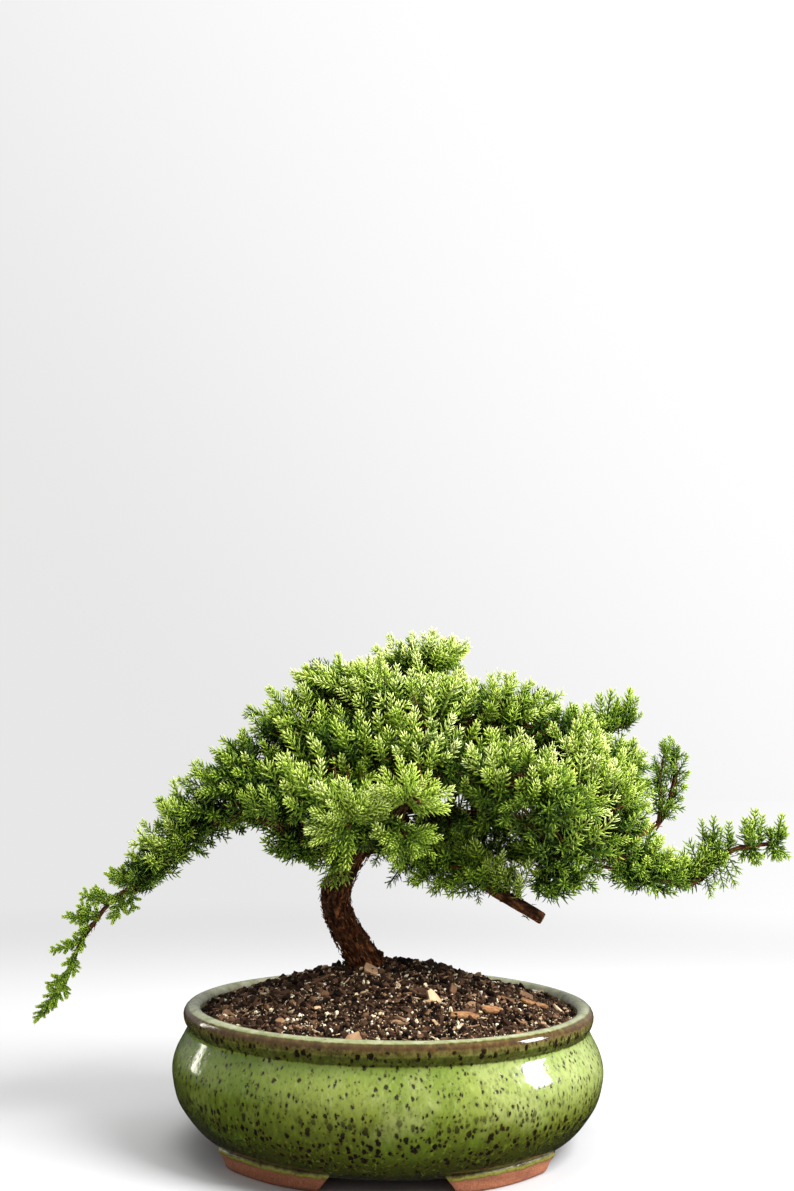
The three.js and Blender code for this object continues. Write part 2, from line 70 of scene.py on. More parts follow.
BRANCHES = {
    "leader_top": {
        "crown": [(5.8, 10, 201.5, 5.4), (13.2, 16, 220.6, 4.8), (18.3, 22, 240.1, 4.1), (21, 30, 260.1, 3.3),
                  (25.2, 42, 277.7, 2.5), (32, 51, 291, 1.8)],
        "twig": [(20, 27, 250, 3.2), (40, 38, 252, 2.9), (62, 47, 251.5, 2.7), (88, 57, 250, 2.4), (116, 64, 246.7, 2.1),
                 (137, 68, 248.5, 1.8), (150, 70.5, 254, 1.5)],
    },
    "branch_left": {
        "main": [(-29, -8, 157, 5.2), (-38, -5, 172, 5), (-57, -2, 182.4, 4.7), (-77.5, 0, 188.5, 4.4), (-100, 0, 190.5, 4),
                 (-117, -2, 184.2, 3.6), (-132.7, -4, 170.6, 3.2), (-145.4, -6, 156.5, 2.5), (-158.9, -8, 147, 1.9),
                 (-171.5, -10, 138.3, 1.6), (-181, -12, 125.5, 1.4), (-189, -14, 112.4, 1.3), (-194, -16, 97.5, 1.1),
                 (-200, -17, 84, 0.9)],
    },
    "branch_low_right": {
        "main": [(-20, -5, 170.5, 4.4), (-5, -9, 173.6, 4.4), (8, -14, 172.7, 4.3), (27, -22, 167.2, 4.2), (53.9, -30, 154.9, 4),
                 (66, -33, 147.4, 3.9), (78, -36, 141, 3.9), (90.6, -39, 133.8, 3.8)],
    },
    "branch_right": {
        "main": [(4, 9, 198.5, 4.6), (16, 8, 197.5, 4.6), (31, 6, 194.3, 4.4), (56.2, 2, 191, 4.1), (80.8, -4, 189, 3.8),
                 (105, -10, 184.6, 3.5), (129.1, -14, 175.9, 3.1), (146.7, -18, 164, 2.8), (161.5, -20, 156.8, 2.5),
                 (178.1, -22, 154, 2.2), (188.5, -22, 157.3, 2), (197, -22, 165, 1.8), (207.3, -22, 173.4, 1.6),
                 (219.6, -22, 176.8, 1.4), (236, -22, 178.6, 1.1)],
    },
    "branch_right_stub": {
        "main": [(82, -5, 187, 3.4), (90.2, -12, 175.4, 3.2), (98.1, -18, 163.8, 3.1), (103.5, -20, 157, 3),
                 (108.1, -21, 152.8, 3.1), (114.1, -22, 153.5, 3)],
    },
    "branch_right_front": {
        "main": [(60, 2, 191, 3.6), (70, -14, 199, 3.3), (80, -30, 206, 3), (90, -46, 210, 2.4), (94, -58, 212, 1.8)],
        "high": [(70, -14, 199, 2.8), (86, -6, 213, 2.5), (100, 4, 227, 2.1), (110, 11, 240, 1.6)],
    },
    "branch_right_sprig": {
        "main": [(131, -14, 175.5, 2.6), (150, -4, 179.9, 2.3), (167.2, 4, 187.2, 2), (174.8, 8, 195.9, 1.8),
                 (180, 10, 209.8, 1.5), (182.4, 11, 223.8, 1.2), (181.6, 12, 231, 1)],
    },
    "branch_left_high": {
        "main": [(2, 7.5, 196, 4.2), (-12, 2, 208, 4), (-28, -4, 220, 3.6), (-43, 6, 234, 3.1), (-50, 15, 250, 2.5),
                 (-46, 23, 266, 1.8)],
        "side": [(-28, -4, 220, 3), (-50, -2, 219, 2.8), (-74, 2, 222, 2.4), (-92, 2, 216, 1.8)],
    },
    "branch_front": {
        "main": [(-3, 3.5, 189.5, 3.8), (-2, -14, 193, 3.6), (0.4, -32, 196, 3.2), (4, -56, 200, 2.7), (9.2, -82, 205, 1.9)],
        "left": [(0, -28, 195.4, 2.8), (-15, -46, 197, 2.5), (-33, -60, 199, 2.1)],
        "low": [(-1, -20, 194, 2.6), (-6, -38, 188, 2.3), (-9, -56, 183, 1.7)],
        "low_left": [(-4, -30, 190.4, 2.2), (-24, -36, 186, 2), (-44, -34, 184, 1.9), (-60, -33, 186, 1.6)],
    },
    "branch_back": {
        "main": [(14, 16, 219, 4.2), (21, 34, 222, 3.8), (36, 55, 226, 3.2), (62, 72, 229, 2.4)],
        "left": [(20, 33, 222, 3), (8, 48, 219, 2.8), (-12, 61, 218, 2.2)],
        "right": [(50, 65, 228, 2.4), (85, 72, 230, 2.4), (120, 75, 227, 2.2), (150, 75, 225, 1.7)],
        "low": [(21, 34, 222, 2.8), (27, 46, 206, 2.6), (32, 55, 188, 2)],
    },
}
PADS = [   # name, centre, half axes, tilt in degrees about Y
    ("left_arm_low", (-147, -5, 164), (27, 24, 16), 40),
    ("left_arm_mid", (-122, 0, 191), (26, 30, 21), 46),
    ("left_arm_top", (-93, -3, 214), (28, 36, 27), 40),
    ("left_shoulder", (-68, 15, 240), (30, 38, 26), 40),
    ("crown_left", (-41, 25, 272), (28, 36, 24), 20),
    ("crown_back", (17, 58, 295), (36, 28, 19), 14),
    ("crown_mid", (-3, 8, 262), (31, 38, 27), 0),
    ("crown_right", (39, 18, 256), (30, 38, 25), 0),
    ("right_shoulder", (78, 18, 255), (29, 40, 26), -8),
    ("right_upper", (110, 12, 240), (26, 38, 27), -30),
    ("right_side", (129, -5, 206), (29, 40, 29), 0),
    ("right_low", (102, -32, 178), (27, 30, 22), 0),
    ("right_hip", (143, -12, 180), (20, 30, 21), 0),
    ("centre_high", (22, -22, 230), (31, 34, 22), 0),
    ("centre_left", (-29, -22, 231), (31, 34, 24), 0),
    ("left_front", (-65, -35, 201), (26, 32, 20), 0),
    ("left_front_low", (-57, -32, 177), (23, 24, 12), 0),
    ("front_left", (-33, -64, 199), (22, 26, 19), 0),
    ("front_bright", (12, -84, 209), (24, 26, 19), 0),
    ("front_low", (-8, -58, 182), (25, 26, 14), 0),
    ("trunk_tuft", (-29, -34, 163), (15, 14, 10), 0),
    ("centre_right", (66, -34, 217), (29, 34, 24), 0),
    ("right_front", (92, -56, 209), (24, 26, 23), 0),
    ("under_dark", (50, 6, 172), (32, 36, 17), 0),
    ("low_branch_spray", (48, -24, 155), (29, 22, 13), -20),
    ("low_branch_tuft", (100, -36, 155), (21, 14, 10), 8),
    ("right_arm", (159, -20, 164), (22, 26, 16), 0),
    ("right_arm_end", (194, -22, 169), (18, 22, 20), 0),
    ("right_tip_inner", (222, -22, 185), (9, 14, 19), 0),
    ("right_tip_outer", (238, -22, 182), (6, 10, 16), 0),
    ("right_sprig", (181, 10, 212), (11, 16, 26), -8),
    ("back_tuft", (155, 72, 263), (16, 16, 13), 0),
    ("back_right", (156, 74, 221), (27, 32, 27), -20),
    ("back_centre", (65, 72, 228), (43, 34, 32), 0),
    ("back_left", (-13, 62, 217), (40, 34, 32), 0),
    ("back_low", (33, 56, 184), (41, 30, 16), 0),
    ("cascade_upper", (-174, -10, 137), (21, 14, 12), 25),
    ("cascade_mid", (-188, -14, 110), (9, 10, 16), -20),
    ("cascade_tip", (-201, -17, 81), (20, 9, 6), 55),
]
PAD_INDEX = {p[0]: i for i, p in enumerate(PADS)}
CHIPS = [(81, -44, 13, 9, 52), (83, -59.6, 16, 7, 72), (89, -15, 16, 9, 20)]


# ------------------------------------------------------------------ numeric helpers
def unit(v):
    v = np.asarray(v, float)
    return v / np.maximum(np.linalg.norm(v, axis=-1, keepdims=True), 1e-9)


def lin(r, g, b):
    """An sRGB colour in 0..255 as linear RGBA."""
    out = []
    for c in (r, g, b):
        c /= 255
        out.append(c / 12.92 if c <= 0.04045 else ((c + 0.055) / 1.055) ** 2.4)
    return (*out, 1.0)


def _hash(i, j, k, seed):
    h = (i * 73856093) ^ (j * 19349663) ^ (k * 83492791) ^ (seed * 2654435761)
    h &= 0xFFFFFFFF
    for _ in range(2):
        h = (((h >> 16) ^ h) * 0x45D9F3B) & 0xFFFFFFFF
    return (((h >> 16) ^ h) & 0xFFFFFF) / float(0xFFFFFF)


def vnoise(p, seed=0):
    """Smooth value noise, -1 to 1, of points (n, 3)."""
    i = np.floor(p).astype(np.int64)
    f = p - i
    f = f * f * (3 - 2 * f)
    out = 0
    for a in (0, 1):
        for b in (0, 1):
            for c in (0, 1):
                w = np.where(a, f[:, 0], 1 - f[:, 0]) * np.where(b, f[:, 1], 1 - f[:, 1]) * np.where(c, f[:, 2], 1 - f[:, 2])
                out = out + w * _hash(i[:, 0] + a, i[:, 1] + b, i[:, 2] + c, seed)
    return out * 2 - 1


def fbm(p, octaves=3, seed=0, gain=0.5):
    total, amp, norm = 0, 1.0, 0.0
    for o in range(octaves):
        total = total + amp * vnoise(p * (2.03 ** o), seed + 17 * o)
        norm += amp
        amp *= gain
    return total / norm


def spline(points, step):
    """Centripetal Catmull-Rom through points of any dimension (x, y, z first), resampled every step mm along its length."""
    p = np.array(points, float)
    p = np.vstack([2 * p[0] - p[1], p, 2 * p[-1] - p[-2]])
    t = np.concatenate([[0], np.cumsum(np.sqrt(np.linalg.norm(np.diff(p[:, :3], axis=0), axis=1)) + 1e-6)])
    dense = []
    for k in range(1, len(p) - 2):
        n = 24
        s = np.linspace(t[k], t[k + 1], n, endpoint=k == len(p) - 3)[:, None]
        a1 = (t[k] - s) / (t[k] - t[k - 1]) * p[k - 1] + (s - t[k - 1]) / (t[k] - t[k - 1]) * p[k]
        a2 = (t[k + 1] - s) / (t[k + 1] - t[k]) * p[k] + (s - t[k]) / (t[k + 1] - t[k]) * p[k + 1]
        a3 = (t[k + 2] - s) / (t[k + 2] - t[k + 1]) * p[k + 1] + (s - t[k + 1]) / (t[k + 2] - t[k + 1]) * p[k + 2]
        b1 = (t[k + 1] - s) / (t[k + 1] - t[k - 1]) * a1 + (s - t[k - 1]) / (t[k + 1] - t[k - 1]) * a2
        b2 = (t[k + 2] - s) / (t[k + 2] - t[k]) * a2 + (s - t[k]) / (t[k + 2] - t[k]) * a3
        dense.append((t[k + 1] - s) / (t[k + 1] - t[k]) * b1 + (s - t[k]) / (t[k + 1] - t[k]) * b2)
    dense = np.vstack(dense)
    arc = np.concatenate([[0], np.cumsum(np.linalg.norm(np.diff(dense[:, :3], axis=0), axis=1))])
    count = max(3, int(round(arc[-1] / step)) + 1)
    want = np.linspace(0, arc[-1], count)
    return np.stack([np.interp(want, arc, dense[:, c]) for c in range(dense.shape[1])], 1)


def transport(path):
    """Tangents and two steady side vectors along a path (n, 3)."""
    tangent = unit(np.gradient(path, axis=0))
    start = np.array([0.0, 0, 1]) if abs(tangent[0][2]) < 0.9 else np.array([1.0, 0, 0])
    u = unit(np.cross(start, tangent[0]))
    us = [u]
    for k in range(1, len(path)):
        u = us[-1] - tangent[k] * (us[-1] @ tangent[k])
        us.append(unit(u))
    us = np.array(us)
    return tangent, us, np.cross(tangent, us)


class Buf:
    """Collects vertices (mm, about the pot's axis) and faces, and makes one Blender object of them."""

    def __init__(self):
        self.v, self.f, self.n = [], [], 0
        self.attr = []

    def add(self, verts, groups, attr=None):
        """groups: (faces (m, k), uv (m, k, 2) or None, material index)."""
        for faces, uv, mat in groups:
            faces = np.asarray(faces, np.int64)
            if len(faces):
                self.f.append((faces + self.n, uv, mat))
        self.v.append(np.asarray(verts, float))
        self.attr.append(attr if attr is not None else np.zeros((len(verts), 3)))
        self.n += len(verts)

    def triangles(self):
        return sum(len(f) * (f.shape[1] - 2) for f, _, _ in self.f)

    def make(self, name, materials, smooth=True, attribute=None, sharp=None):
        verts = np.vstack(self.v) * 0.001 + AXIS
        loops = np.concatenate([f.ravel() for f, _, _ in self.f])
        totals = np.concatenate([np.full(len(f), f.shape[1]) for f, _, _ in self.f])
        mats = np.concatenate([np.full(len(f), m) for f, _, m in self.f])
        starts = np.concatenate([[0], np.cumsum(totals)[:-1]])
        mesh = bpy.data.meshes.new(name)
        mesh.vertices.add(len(verts))
        mesh.vertices.foreach_set("co", verts.astype(np.float32).ravel())
        mesh.loops.add(len(loops))
        mesh.loops.foreach_set("vertex_index", loops.astype(np.int32))
        mesh.polygons.add(len(totals))
        mesh.polygons.foreach_set("loop_start", starts.astype(np.int32))
        mesh.polygons.foreach_set("loop_total", totals.astype(np.int32))
        mesh.polygons.foreach_set("material_index", mats.astype(np.int32))
        mesh.polygons.foreach_set("use_smooth", np.full(len(totals), smooth))
        if all(uv is not None for _, uv, _ in self.f):
            layer = mesh.uv_layers.new(name="OFBake")
            uv = np.concatenate([np.asarray(uv, float).reshape(-1, 2) for _, uv, _ in self.f])
            layer.uv.foreach_set("vector", uv.astype(np.float32).ravel())
        if attribute:
            a = mesh.attributes.new(attribute, "FLOAT_VECTOR", "POINT")
            a.data.foreach_set("vector", np.vstack(self.attr).astype(np.float32).ravel())
        for m in materials:
            mesh.materials.append(m)
        mesh.update(calc_edges=True)
        if sharp is not None:
            mesh.set_sharp_from_angle(angle=math.radians(sharp))
        obj = bpy.data.objects.new(name, mesh)
        SCENE.collection.objects.link(obj)
        return obj


def place(obj, slot, *nodes):
    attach(obj, "root")
    if nodes:
        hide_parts(*nodes)
    return obj


# ------------------------------------------------------------------ material helpers
class Shader:
    """A node material with a Principled shader, and short calls to add and join nodes."""

    def __init__(self, name, **values):
        self.mat = bpy.data.materials.new(name)
        self.mat.use_nodes = True
        self.tree = self.mat.node_tree
        self.tree.nodes.clear()
        self.out = self.tree.nodes.new("ShaderNodeOutputMaterial")
        self.bsdf = self.tree.nodes.new("ShaderNodeBsdfPrincipled")
        self.tree.links.new(self.bsdf.outputs[0], self.out.inputs[0])
        for key, value in values.items():
            self.bsdf.inputs[key.replace("_", " ")].default_value = value

    def node(self, kind, inputs=None, **props):
        n = self.tree.nodes.new("ShaderNode" + kind)
        for k, v in props.items():
            setattr(n, k, v)
        for k, v in (inputs or {}).items():
            self.set(n.inputs[k], v)
        return n

    def set(self, socket, value):
        if isinstance(value, bpy.types.NodeSocket):
            self.tree.links.new(value, socket)
        else:
            socket.default_value = value

    def math(self, op, a, b=0.0, c=None, clamp=False):
        n = self.node("Math", operation=op, use_clamp=clamp)
        self.set(n.inputs[0], a)
        self.set(n.inputs[1], b)
        if c is not None:
            self.set(n.inputs[2], c)
        return n.outputs[0]

    def vmath(self, op, a, b=(0, 0, 0)):
        n = self.node("VectorMath", operation=op)
        self.set(n.inputs[0], a)
        if isinstance(b, (int, float)) or (isinstance(b, bpy.types.NodeSocket) and op == "SCALE"):
            self.set(n.inputs["Scale"], b)
        else:
            self.set(n.inputs[1], b)
        return n.outputs[1] if op in ("LENGTH", "DOT_PRODUCT", "DISTANCE") else n.outputs[0]

    def mix(self, fac, a, b, blend="MIX"):
        n = self.node("Mix", data_type="RGBA", blend_type=blend)
        n.clamp_factor = True
        self.set(n.inputs[0], fac)
        self.set(n.inputs[6], a)
        self.set(n.inputs[7], b)
        return n.outputs[2]

    def ramp(self, fac, stops, interpolation="LINEAR"):
        n = self.node("ValToRGB")
        r = n.color_ramp
        r.interpolation = interpolation
        while len(r.elements) > 1:
            r.elements.remove(r.elements[-1])
        r.elements[0].position, r.elements[0].color = stops[0]
        for pos, colour in stops[1:]:
            e = r.elements.new(pos)
            e.color = colour
        self.set(n.inputs[0], fac)
        return n.outputs[0]

    def span(self, value, a, b, c=0.0, d=1.0, smooth=True):
        """value mapped from a..b to c..d, clamped."""
        n = self.node("MapRange", interpolation_type="SMOOTHSTEP" if smooth else "LINEAR", clamp=True)
        for i, x in enumerate((value, a, b, c, d)):
            self.set(n.inputs[i], x)
        return n.outputs[0]

    def noise(self, vector, scale, detail=3.0, rough=0.5, distortion=0.0):
        n = self.node("TexNoise", {"Vector": vector, "Scale": scale, "Detail": detail, "Roughness": rough, "Distortion": distortion},
                      noise_dimensions="3D")
        return n.outputs[0]

    def voronoi(self, vector, scale, feature="F1", randomness=1.0):
        n = self.node("TexVoronoi", {"Vector": vector, "Scale": scale, "Randomness": randomness}, voronoi_dimensions="3D", feature=feature)
        return n

    def mm(self):
        """Object coordinates in millimetres about the pot's axis."""
        t = self.node("TexCoord").outputs["Object"]
        return self.vmath("SCALE", self.vmath("SUBTRACT", t, tuple(AXIS)), 1000.0)

    def xyz(self, vector):
        n = self.node("SeparateXYZ")
        self.set(n.inputs[0], vector)
        return n.outputs

    def bump(self, height, strength, distance, normal=None):
        n = self.node("Bump", {"Height": height, "Strength": strength, "Distance": distance})
        if normal is not None:
            self.set(n.inputs["Normal"], normal)
        return n.outputs[0]

    def to(self, socket, value):
        self.set(self.bsdf.inputs[socket], value)


def uv_parts(s):
    n = s.node("UVMap", uv_map="OFBake")
    return s.xyz(n.outputs[0])


# ------------------------------------------------------------------ materials
def needle_material():
    s = Shader("juniper_needles", Roughness=0.52)
    u, v, _ = uv_parts(s)
    # V is the tint: it sets the hue and also painted light and shade, near black at the low end for shoots in shade,
    # pale at the high end for lit ones
    mid = s.ramp(v, [
        (0.0, (0.004, 0.014, 0.001, 1)), (0.16, (0.020, 0.052, 0.006, 1)), (0.34, (0.080, 0.162, 0.020, 1)),
        (0.52, (0.212, 0.345, 0.026, 1)), (0.70, (0.415, 0.570, 0.052, 1)), (0.86, (0.630, 0.760, 0.165, 1)),
        (1.0, (0.810, 0.880, 0.390, 1))])
    # painted shade: each needle is darker at its base, where the needles shade one another, and lighter towards its tip
    shade = s.ramp(u, [(0.0, (0.14, 0.14, 0.11, 1)), (0.22, (0.54, 0.60, 0.46, 1)), (0.48, (1, 1, 1, 1)), (1.0, (1.12, 1.10, 1.25, 1))])
    colour = s.mix(1.0, mid, shade, "MULTIPLY")
    # pale needle tips, shown more on the lighter tints: partly the needles' own pale tips, partly a painted highlight
    pale = s.mix(0.18, colour, (0.66, 0.74, 0.28, 1))
    tip = s.span(u, 0.80, 1.0)
    tip = s.math("MULTIPLY", tip, s.span(v, 0.25, 0.8))
    s.to("Base Color", s.mix(tip, colour, pale))
    s.bsdf.inputs["Specular IOR Level"].default_value = 0.28
    return s.mat


def stem_material(name, dark, mid, light, red=0.35, grain=1.0):
    """Bark that reads the vector attribute stemco: coordinates across the stem and along it, in mm."""
    s = Shader(name, Roughness=0.85)
    s.bsdf.inputs["Specular IOR Level"].default_value = 0.15
    p = s.node("Attribute", attribute_name="stemco").outputs["Vector"]
    long = s.vmath("MULTIPLY", p, (1.0, 1.0, 0.22))
    fibre = s.noise(long, 0.55 * grain, 5.0, 0.62, 0.6)
    plates = s.noise(s.vmath("MULTIPLY", p, (1.0, 1.0, 0.65)), 0.24 * grain, 3.0, 0.55)
    fine = s.noise(long, 2.1 * grain, 3.0, 0.6)
    tone = s.math("ADD", s.math("MULTIPLY", fibre, 0.75), s.math("MULTIPLY", fine, 0.25))
    colour = s.ramp(tone, [(0.30, dark), (0.47, mid), (0.62, light), (0.74, mid)])
    reddish = s.mix(s.span(plates, 0.45, 0.68, 0.0, red), colour, (0.150, 0.045, 0.022, 1))
    grey = s.mix(s.span(plates, 0.50, 0.30, 0.0, 0.25), reddish, (0.075, 0.058, 0.040, 1))
    blotch = s.noise(s.vmath("MULTIPLY", p, (1.0, 1.0, 0.75)), 0.40 * grain, 2.0, 0.6, 0.8)
    s.to("Base Color", s.mix(s.span(blotch, 0.56, 0.44, 0.0, 0.72), grey, (0.008, 0.004, 0.002, 1)))
    s.to("Roughness", s.span(fibre, 0.3, 0.7, 0.92, 0.72))
    height = s.math("ADD", s.math("MULTIPLY", fibre, 0.7), s.math("MULTIPLY", fine, 0.3))
    s.to("Normal", s.bump(height, 0.8, 0.0009))
    return s.mat


def cut_wood_material():
    """The pale end grain of a pruned stub."""
    s = Shader("cut_wood", Roughness=0.8)
    p = s.mm()
    ring = s.noise(p, 0.55, 4.0, 0.6, 1.2)
    s.to("Base Color", s.ramp(ring, [(0.35, lin(66, 48, 34)), (0.5, lin(108, 86, 64)), (0.66, lin(146, 122, 94))]))
    s.to("Normal", s.bump(ring, 0.5, 0.0005))
    return s.mat


def glaze_material():
    s = Shader("speckled_glaze", Roughness=0.12)
    p = s.mm()
    x, y, z = s.xyz(p)
    flat = s.node("CombineXYZ", {"X": x, "Y": y, "Z": 0.0}).outputs[0]
    radius = s.vmath("LENGTH", flat)
    # streaks run down the side of the pot, so the noise is stretched along Z
    drip = s.noise(s.vmath("MULTIPLY", p, (1.0, 1.0, 0.18)), 0.16, 3.0, 0.55)
    drip_fine = s.noise(s.vmath("MULTIPLY", p, (1.0, 1.0, 0.12)), 0.55, 2.0, 0.5)
    wob = s.math("ADD", s.math("MULTIPLY", s.math("SUBTRACT", drip, 0.5), 5.0), s.math("MULTIPLY", s.math("SUBTRACT", drip_fine, 0.5), 2.4))
    zn = s.math("ADD", z, wob)
    t = s.math("DIVIDE", zn, 82.0)
    h = lambda mm: mm / 82.0
    # the body darkens from the shoulder to near black at the foot: mostly painted shade and a painted reflection of a
    # dark table, partly the glaze's own deeper green
    body = s.ramp(t, [
        (h(4), lin(22, 18, 6)), (h(10.5), lin(28, 26, 8)), (h(13), lin(40, 44, 10)), (h(20), lin(52, 58, 12)),
        (h(28), lin(70, 79, 19)), (h(36), lin(94, 104, 32)), (h(43), lin(116, 126, 47)), (h(51), lin(128, 140, 57)),
        (h(58), lin(132, 146, 60)), (h(66), lin(122, 142, 56))])
    # broad cloudiness: deeper green, yellower and milky patches
    cloud = s.noise(s.vmath("MULTIPLY", p, (1.0, 1.0, 0.6)), 0.030, 3.0, 0.5, 0.4)
    patch = s.math("MULTIPLY", s.span(cloud, 0.50, 0.66, 0.0, 0.5), s.span(z, 16.0, 30.0))
    body = s.mix(patch, body, lin(92, 116, 28))
    cloud2 = s.noise(s.vmath("ADD", p, (310.0, 40.0, 90.0)), 0.040, 3.0, 0.5)
    body = s.mix(s.math("MULTIPLY", s.span(cloud2, 0.50, 0.68, 0.0, 0.55), s.span(z, 26.0, 46.0)), body, lin(158, 166, 100))
    # streaks and flecks where the glaze has run
    milk = s.math("MULTIPLY", s.span(drip_fine, 0.52, 0.74, 0.0, 0.42), s.span(z, 36.0, 54.0))
    milk = s.math("MULTIPLY", milk, s.span(z, 66.5, 62.0))
    body = s.mix(milk, body, lin(160, 176, 104))
    # painted light: a pale glow on the right of the body, round the window's highlight
    body = s.mix(s.math("MULTIPLY", s.span(x, 20.0, 105.0, 0.0, 0.42), s.span(z, 30.0, 52.0)), body, lin(162, 176, 116))
    # painted shade: the left of the body darker, away from the light
    body = s.mix(s.math("MULTIPLY", s.span(x, -20.0, -100.0, 0.0, 0.80), s.span(z, 67.5, 66.0)), body, (0.52, 0.64, 0.36, 1), "MULTIPLY")
    # mottle of darker and lighter green in the glaze
    mottle = s.noise(s.vmath("MULTIPLY", p, (1.0, 1.0, 0.6)), 0.42, 3.0, 0.62)
    body = s.mix(s.span(mottle, 0.46, 0.72, 0.0, 0.42), body, lin(62, 72, 16))
    body = s.mix(s.math("MULTIPLY", s.span(mottle, 0.46, 0.30, 0.0, 0.40), s.span(z, 60.0, 30.0)), body, lin(132, 146, 48))
    # rim: the glaze breaks brown over the outer edge and pools pale on top
    zf = s.math("ADD", z, s.math("MULTIPLY", s.math("SUBTRACT", drip_fine, 0.5), 1.6))
    # a dark olive band under the lip: partly glaze pooled there, partly painted shade under the lip's overhang
    neck = s.math("MULTIPLY", s.span(zf, 66.6, 67.6), s.span(zf, 73.6, 71.6))
    body = s.mix(s.math("MULTIPLY", neck, 0.94), body, s.ramp(mottle, [(0.35, lin(76, 84, 26)), (0.5, lin(62, 66, 20)), (0.68, lin(46, 44, 14))]))
    collar = s.math("MULTIPLY", s.span(zf, 71.8, 73.4), s.span(z, 78.0, 76.6))
    body = s.mix(s.math("MULTIPLY", collar, 0.90), body, s.ramp(mottle, [(0.35, lin(104, 92, 50)), (0.5, lin(86, 70, 34)), (0.68, lin(60, 46, 20))]))
    edge = s.math("MULTIPLY", s.span(zf, 74.6, 76.4), s.span(z, 79.3, 78.5))
    rim_noise = s.noise(s.vmath("MULTIPLY", p, (1.0, 1.0, 0.5)), 0.30, 4.0, 0.6)
    brown = s.ramp(rim_noise, [(0.30, lin(44, 25, 9)), (0.5, lin(72, 44, 17)), (0.66, lin(90, 67, 32)), (0.8, lin(112, 94, 60))])
    body = s.mix(s.math("MULTIPLY", edge, 0.92), body, brown)
    inside = s.span(radius, 117.6, 116.2)
    inside = s.math("MULTIPLY", inside, s.span(z, 30.0, 40.0))
    top = s.span(s.math("ADD", z, s.math("MULTIPLY", s.math("SUBTRACT", rim_noise, 0.5), 1.2)), 78.5, 79.3)
    crest = s.math("MAXIMUM", s.math("MULTIPLY", top, 0.85), inside)
    sage = s.ramp(s.noise(p, 0.13, 4.0, 0.6), [(0.30, lin(126, 128, 96)), (0.5, lin(160, 162, 128)), (0.7, lin(182, 182, 156))])
    # iron speckles of three sizes with soft halos; the slices through a 3-D cell pattern vary in size by themselves
    warp = s.vmath("ADD", p, s.vmath("SCALE", s.node("TexNoise", {"Vector": p, "Scale": 0.45, "Detail": 2.0}).outputs["Color"], 2.4))
    warp = s.vmath("MULTIPLY", warp, (1.0, 1.0, 0.66))

    def spots(cell, r0, r1, soft, shift):
        vn = s.voronoi(s.vmath("ADD", warp, shift), 1.0 / cell)
        pick = s.node("SeparateColor")
        s.set(pick.inputs[0], vn.outputs["Color"])
        size = s.span(pick.outputs[0], 0.0, 1.0, r0 / cell, r1 / cell, smooth=False)
        gap = s.math("SUBTRACT", size, vn.outputs["Distance"])
        return s.span(gap, -0.15 * soft / cell, soft / cell), s.span(gap, -3.2 * soft / cell, 0.6 * soft / cell)

    small, small_halo = spots(2.8, 0.40, 1.02, 0.22, (0, 0, 0))
    big, big_halo = spots(3.6, 0.60, 1.72, 0.30, (57.0, 13.0, 31.0))
    tiny, tiny_halo = spots(2.1, 0.15, 0.62, 0.22, (11.0, 77.0, 5.0))
    low = s.span(z, 54.0, 30.0, 0.0, 1.0)
    low = s.math("MULTIPLY", low, s.span(z, 8.0, 12.0))
    band = s.math("MULTIPLY", s.span(z, 66.6, 67.6), s.span(z, 77.0, 74.4))
    where = s.math("MAXIMUM", low, band)
    rimless = s.span(z, 76.5, 74.5)
    halo = s.math("MAXIMUM", s.math("MULTIPLY", big_halo, where), s.math("MULTIPLY", small_halo, s.math("MULTIPLY", rimless, 0.75)))
    spot = s.math("MAXIMUM", s.math("MULTIPLY", big, where), s.math("MULTIPLY", small, s.math("MULTIPLY", rimless, 0.92)))
    spot = s.math("MAXIMUM", spot, s.math("MULTIPLY", tiny, 0.50))
    body = s.mix(s.math("MULTIPLY", halo, 0.62), body, lin(66, 62, 16))
    body = s.mix(s.math("MULTIPLY", spot, 0.97), body, lin(24, 14, 6))
    sage = s.mix(s.math("MULTIPLY", tiny, 0.5), sage, lin(84, 70, 50))
    colour = s.mix(crest, body, sage)
    # bare shadowed underside
    under = s.math("MULTIPLY", s.span(z, 7.4, 5.9), s.span(radius, 112.0, 106.0))
    colour = s.mix(under, colour, lin(128, 84, 62))
    s.to("Base Color", colour)
    rough = s.math("ADD", s.span(mottle, 0.3, 0.7, 0.09, 0.17), s.math("MULTIPLY", spot, 0.12))
    rough = s.math("ADD", rough, s.math("MULTIPLY", under, 0.6))
    s.to("Roughness", rough)
    wave = s.noise(p, 0.075, 2.0, 0.5)
    pits = s.math("SUBTRACT", s.math("MULTIPLY", wave, 1.0), s.math("MULTIPLY", spot, 0.10))
    s.to("Normal", s.bump(pits, 0.35, 0.0012))
    s.bsdf.inputs["Coat Weight"].default_value = 0.25
    s.bsdf.inputs["Coat Roughness"].default_value = 0.05
    return s.mat


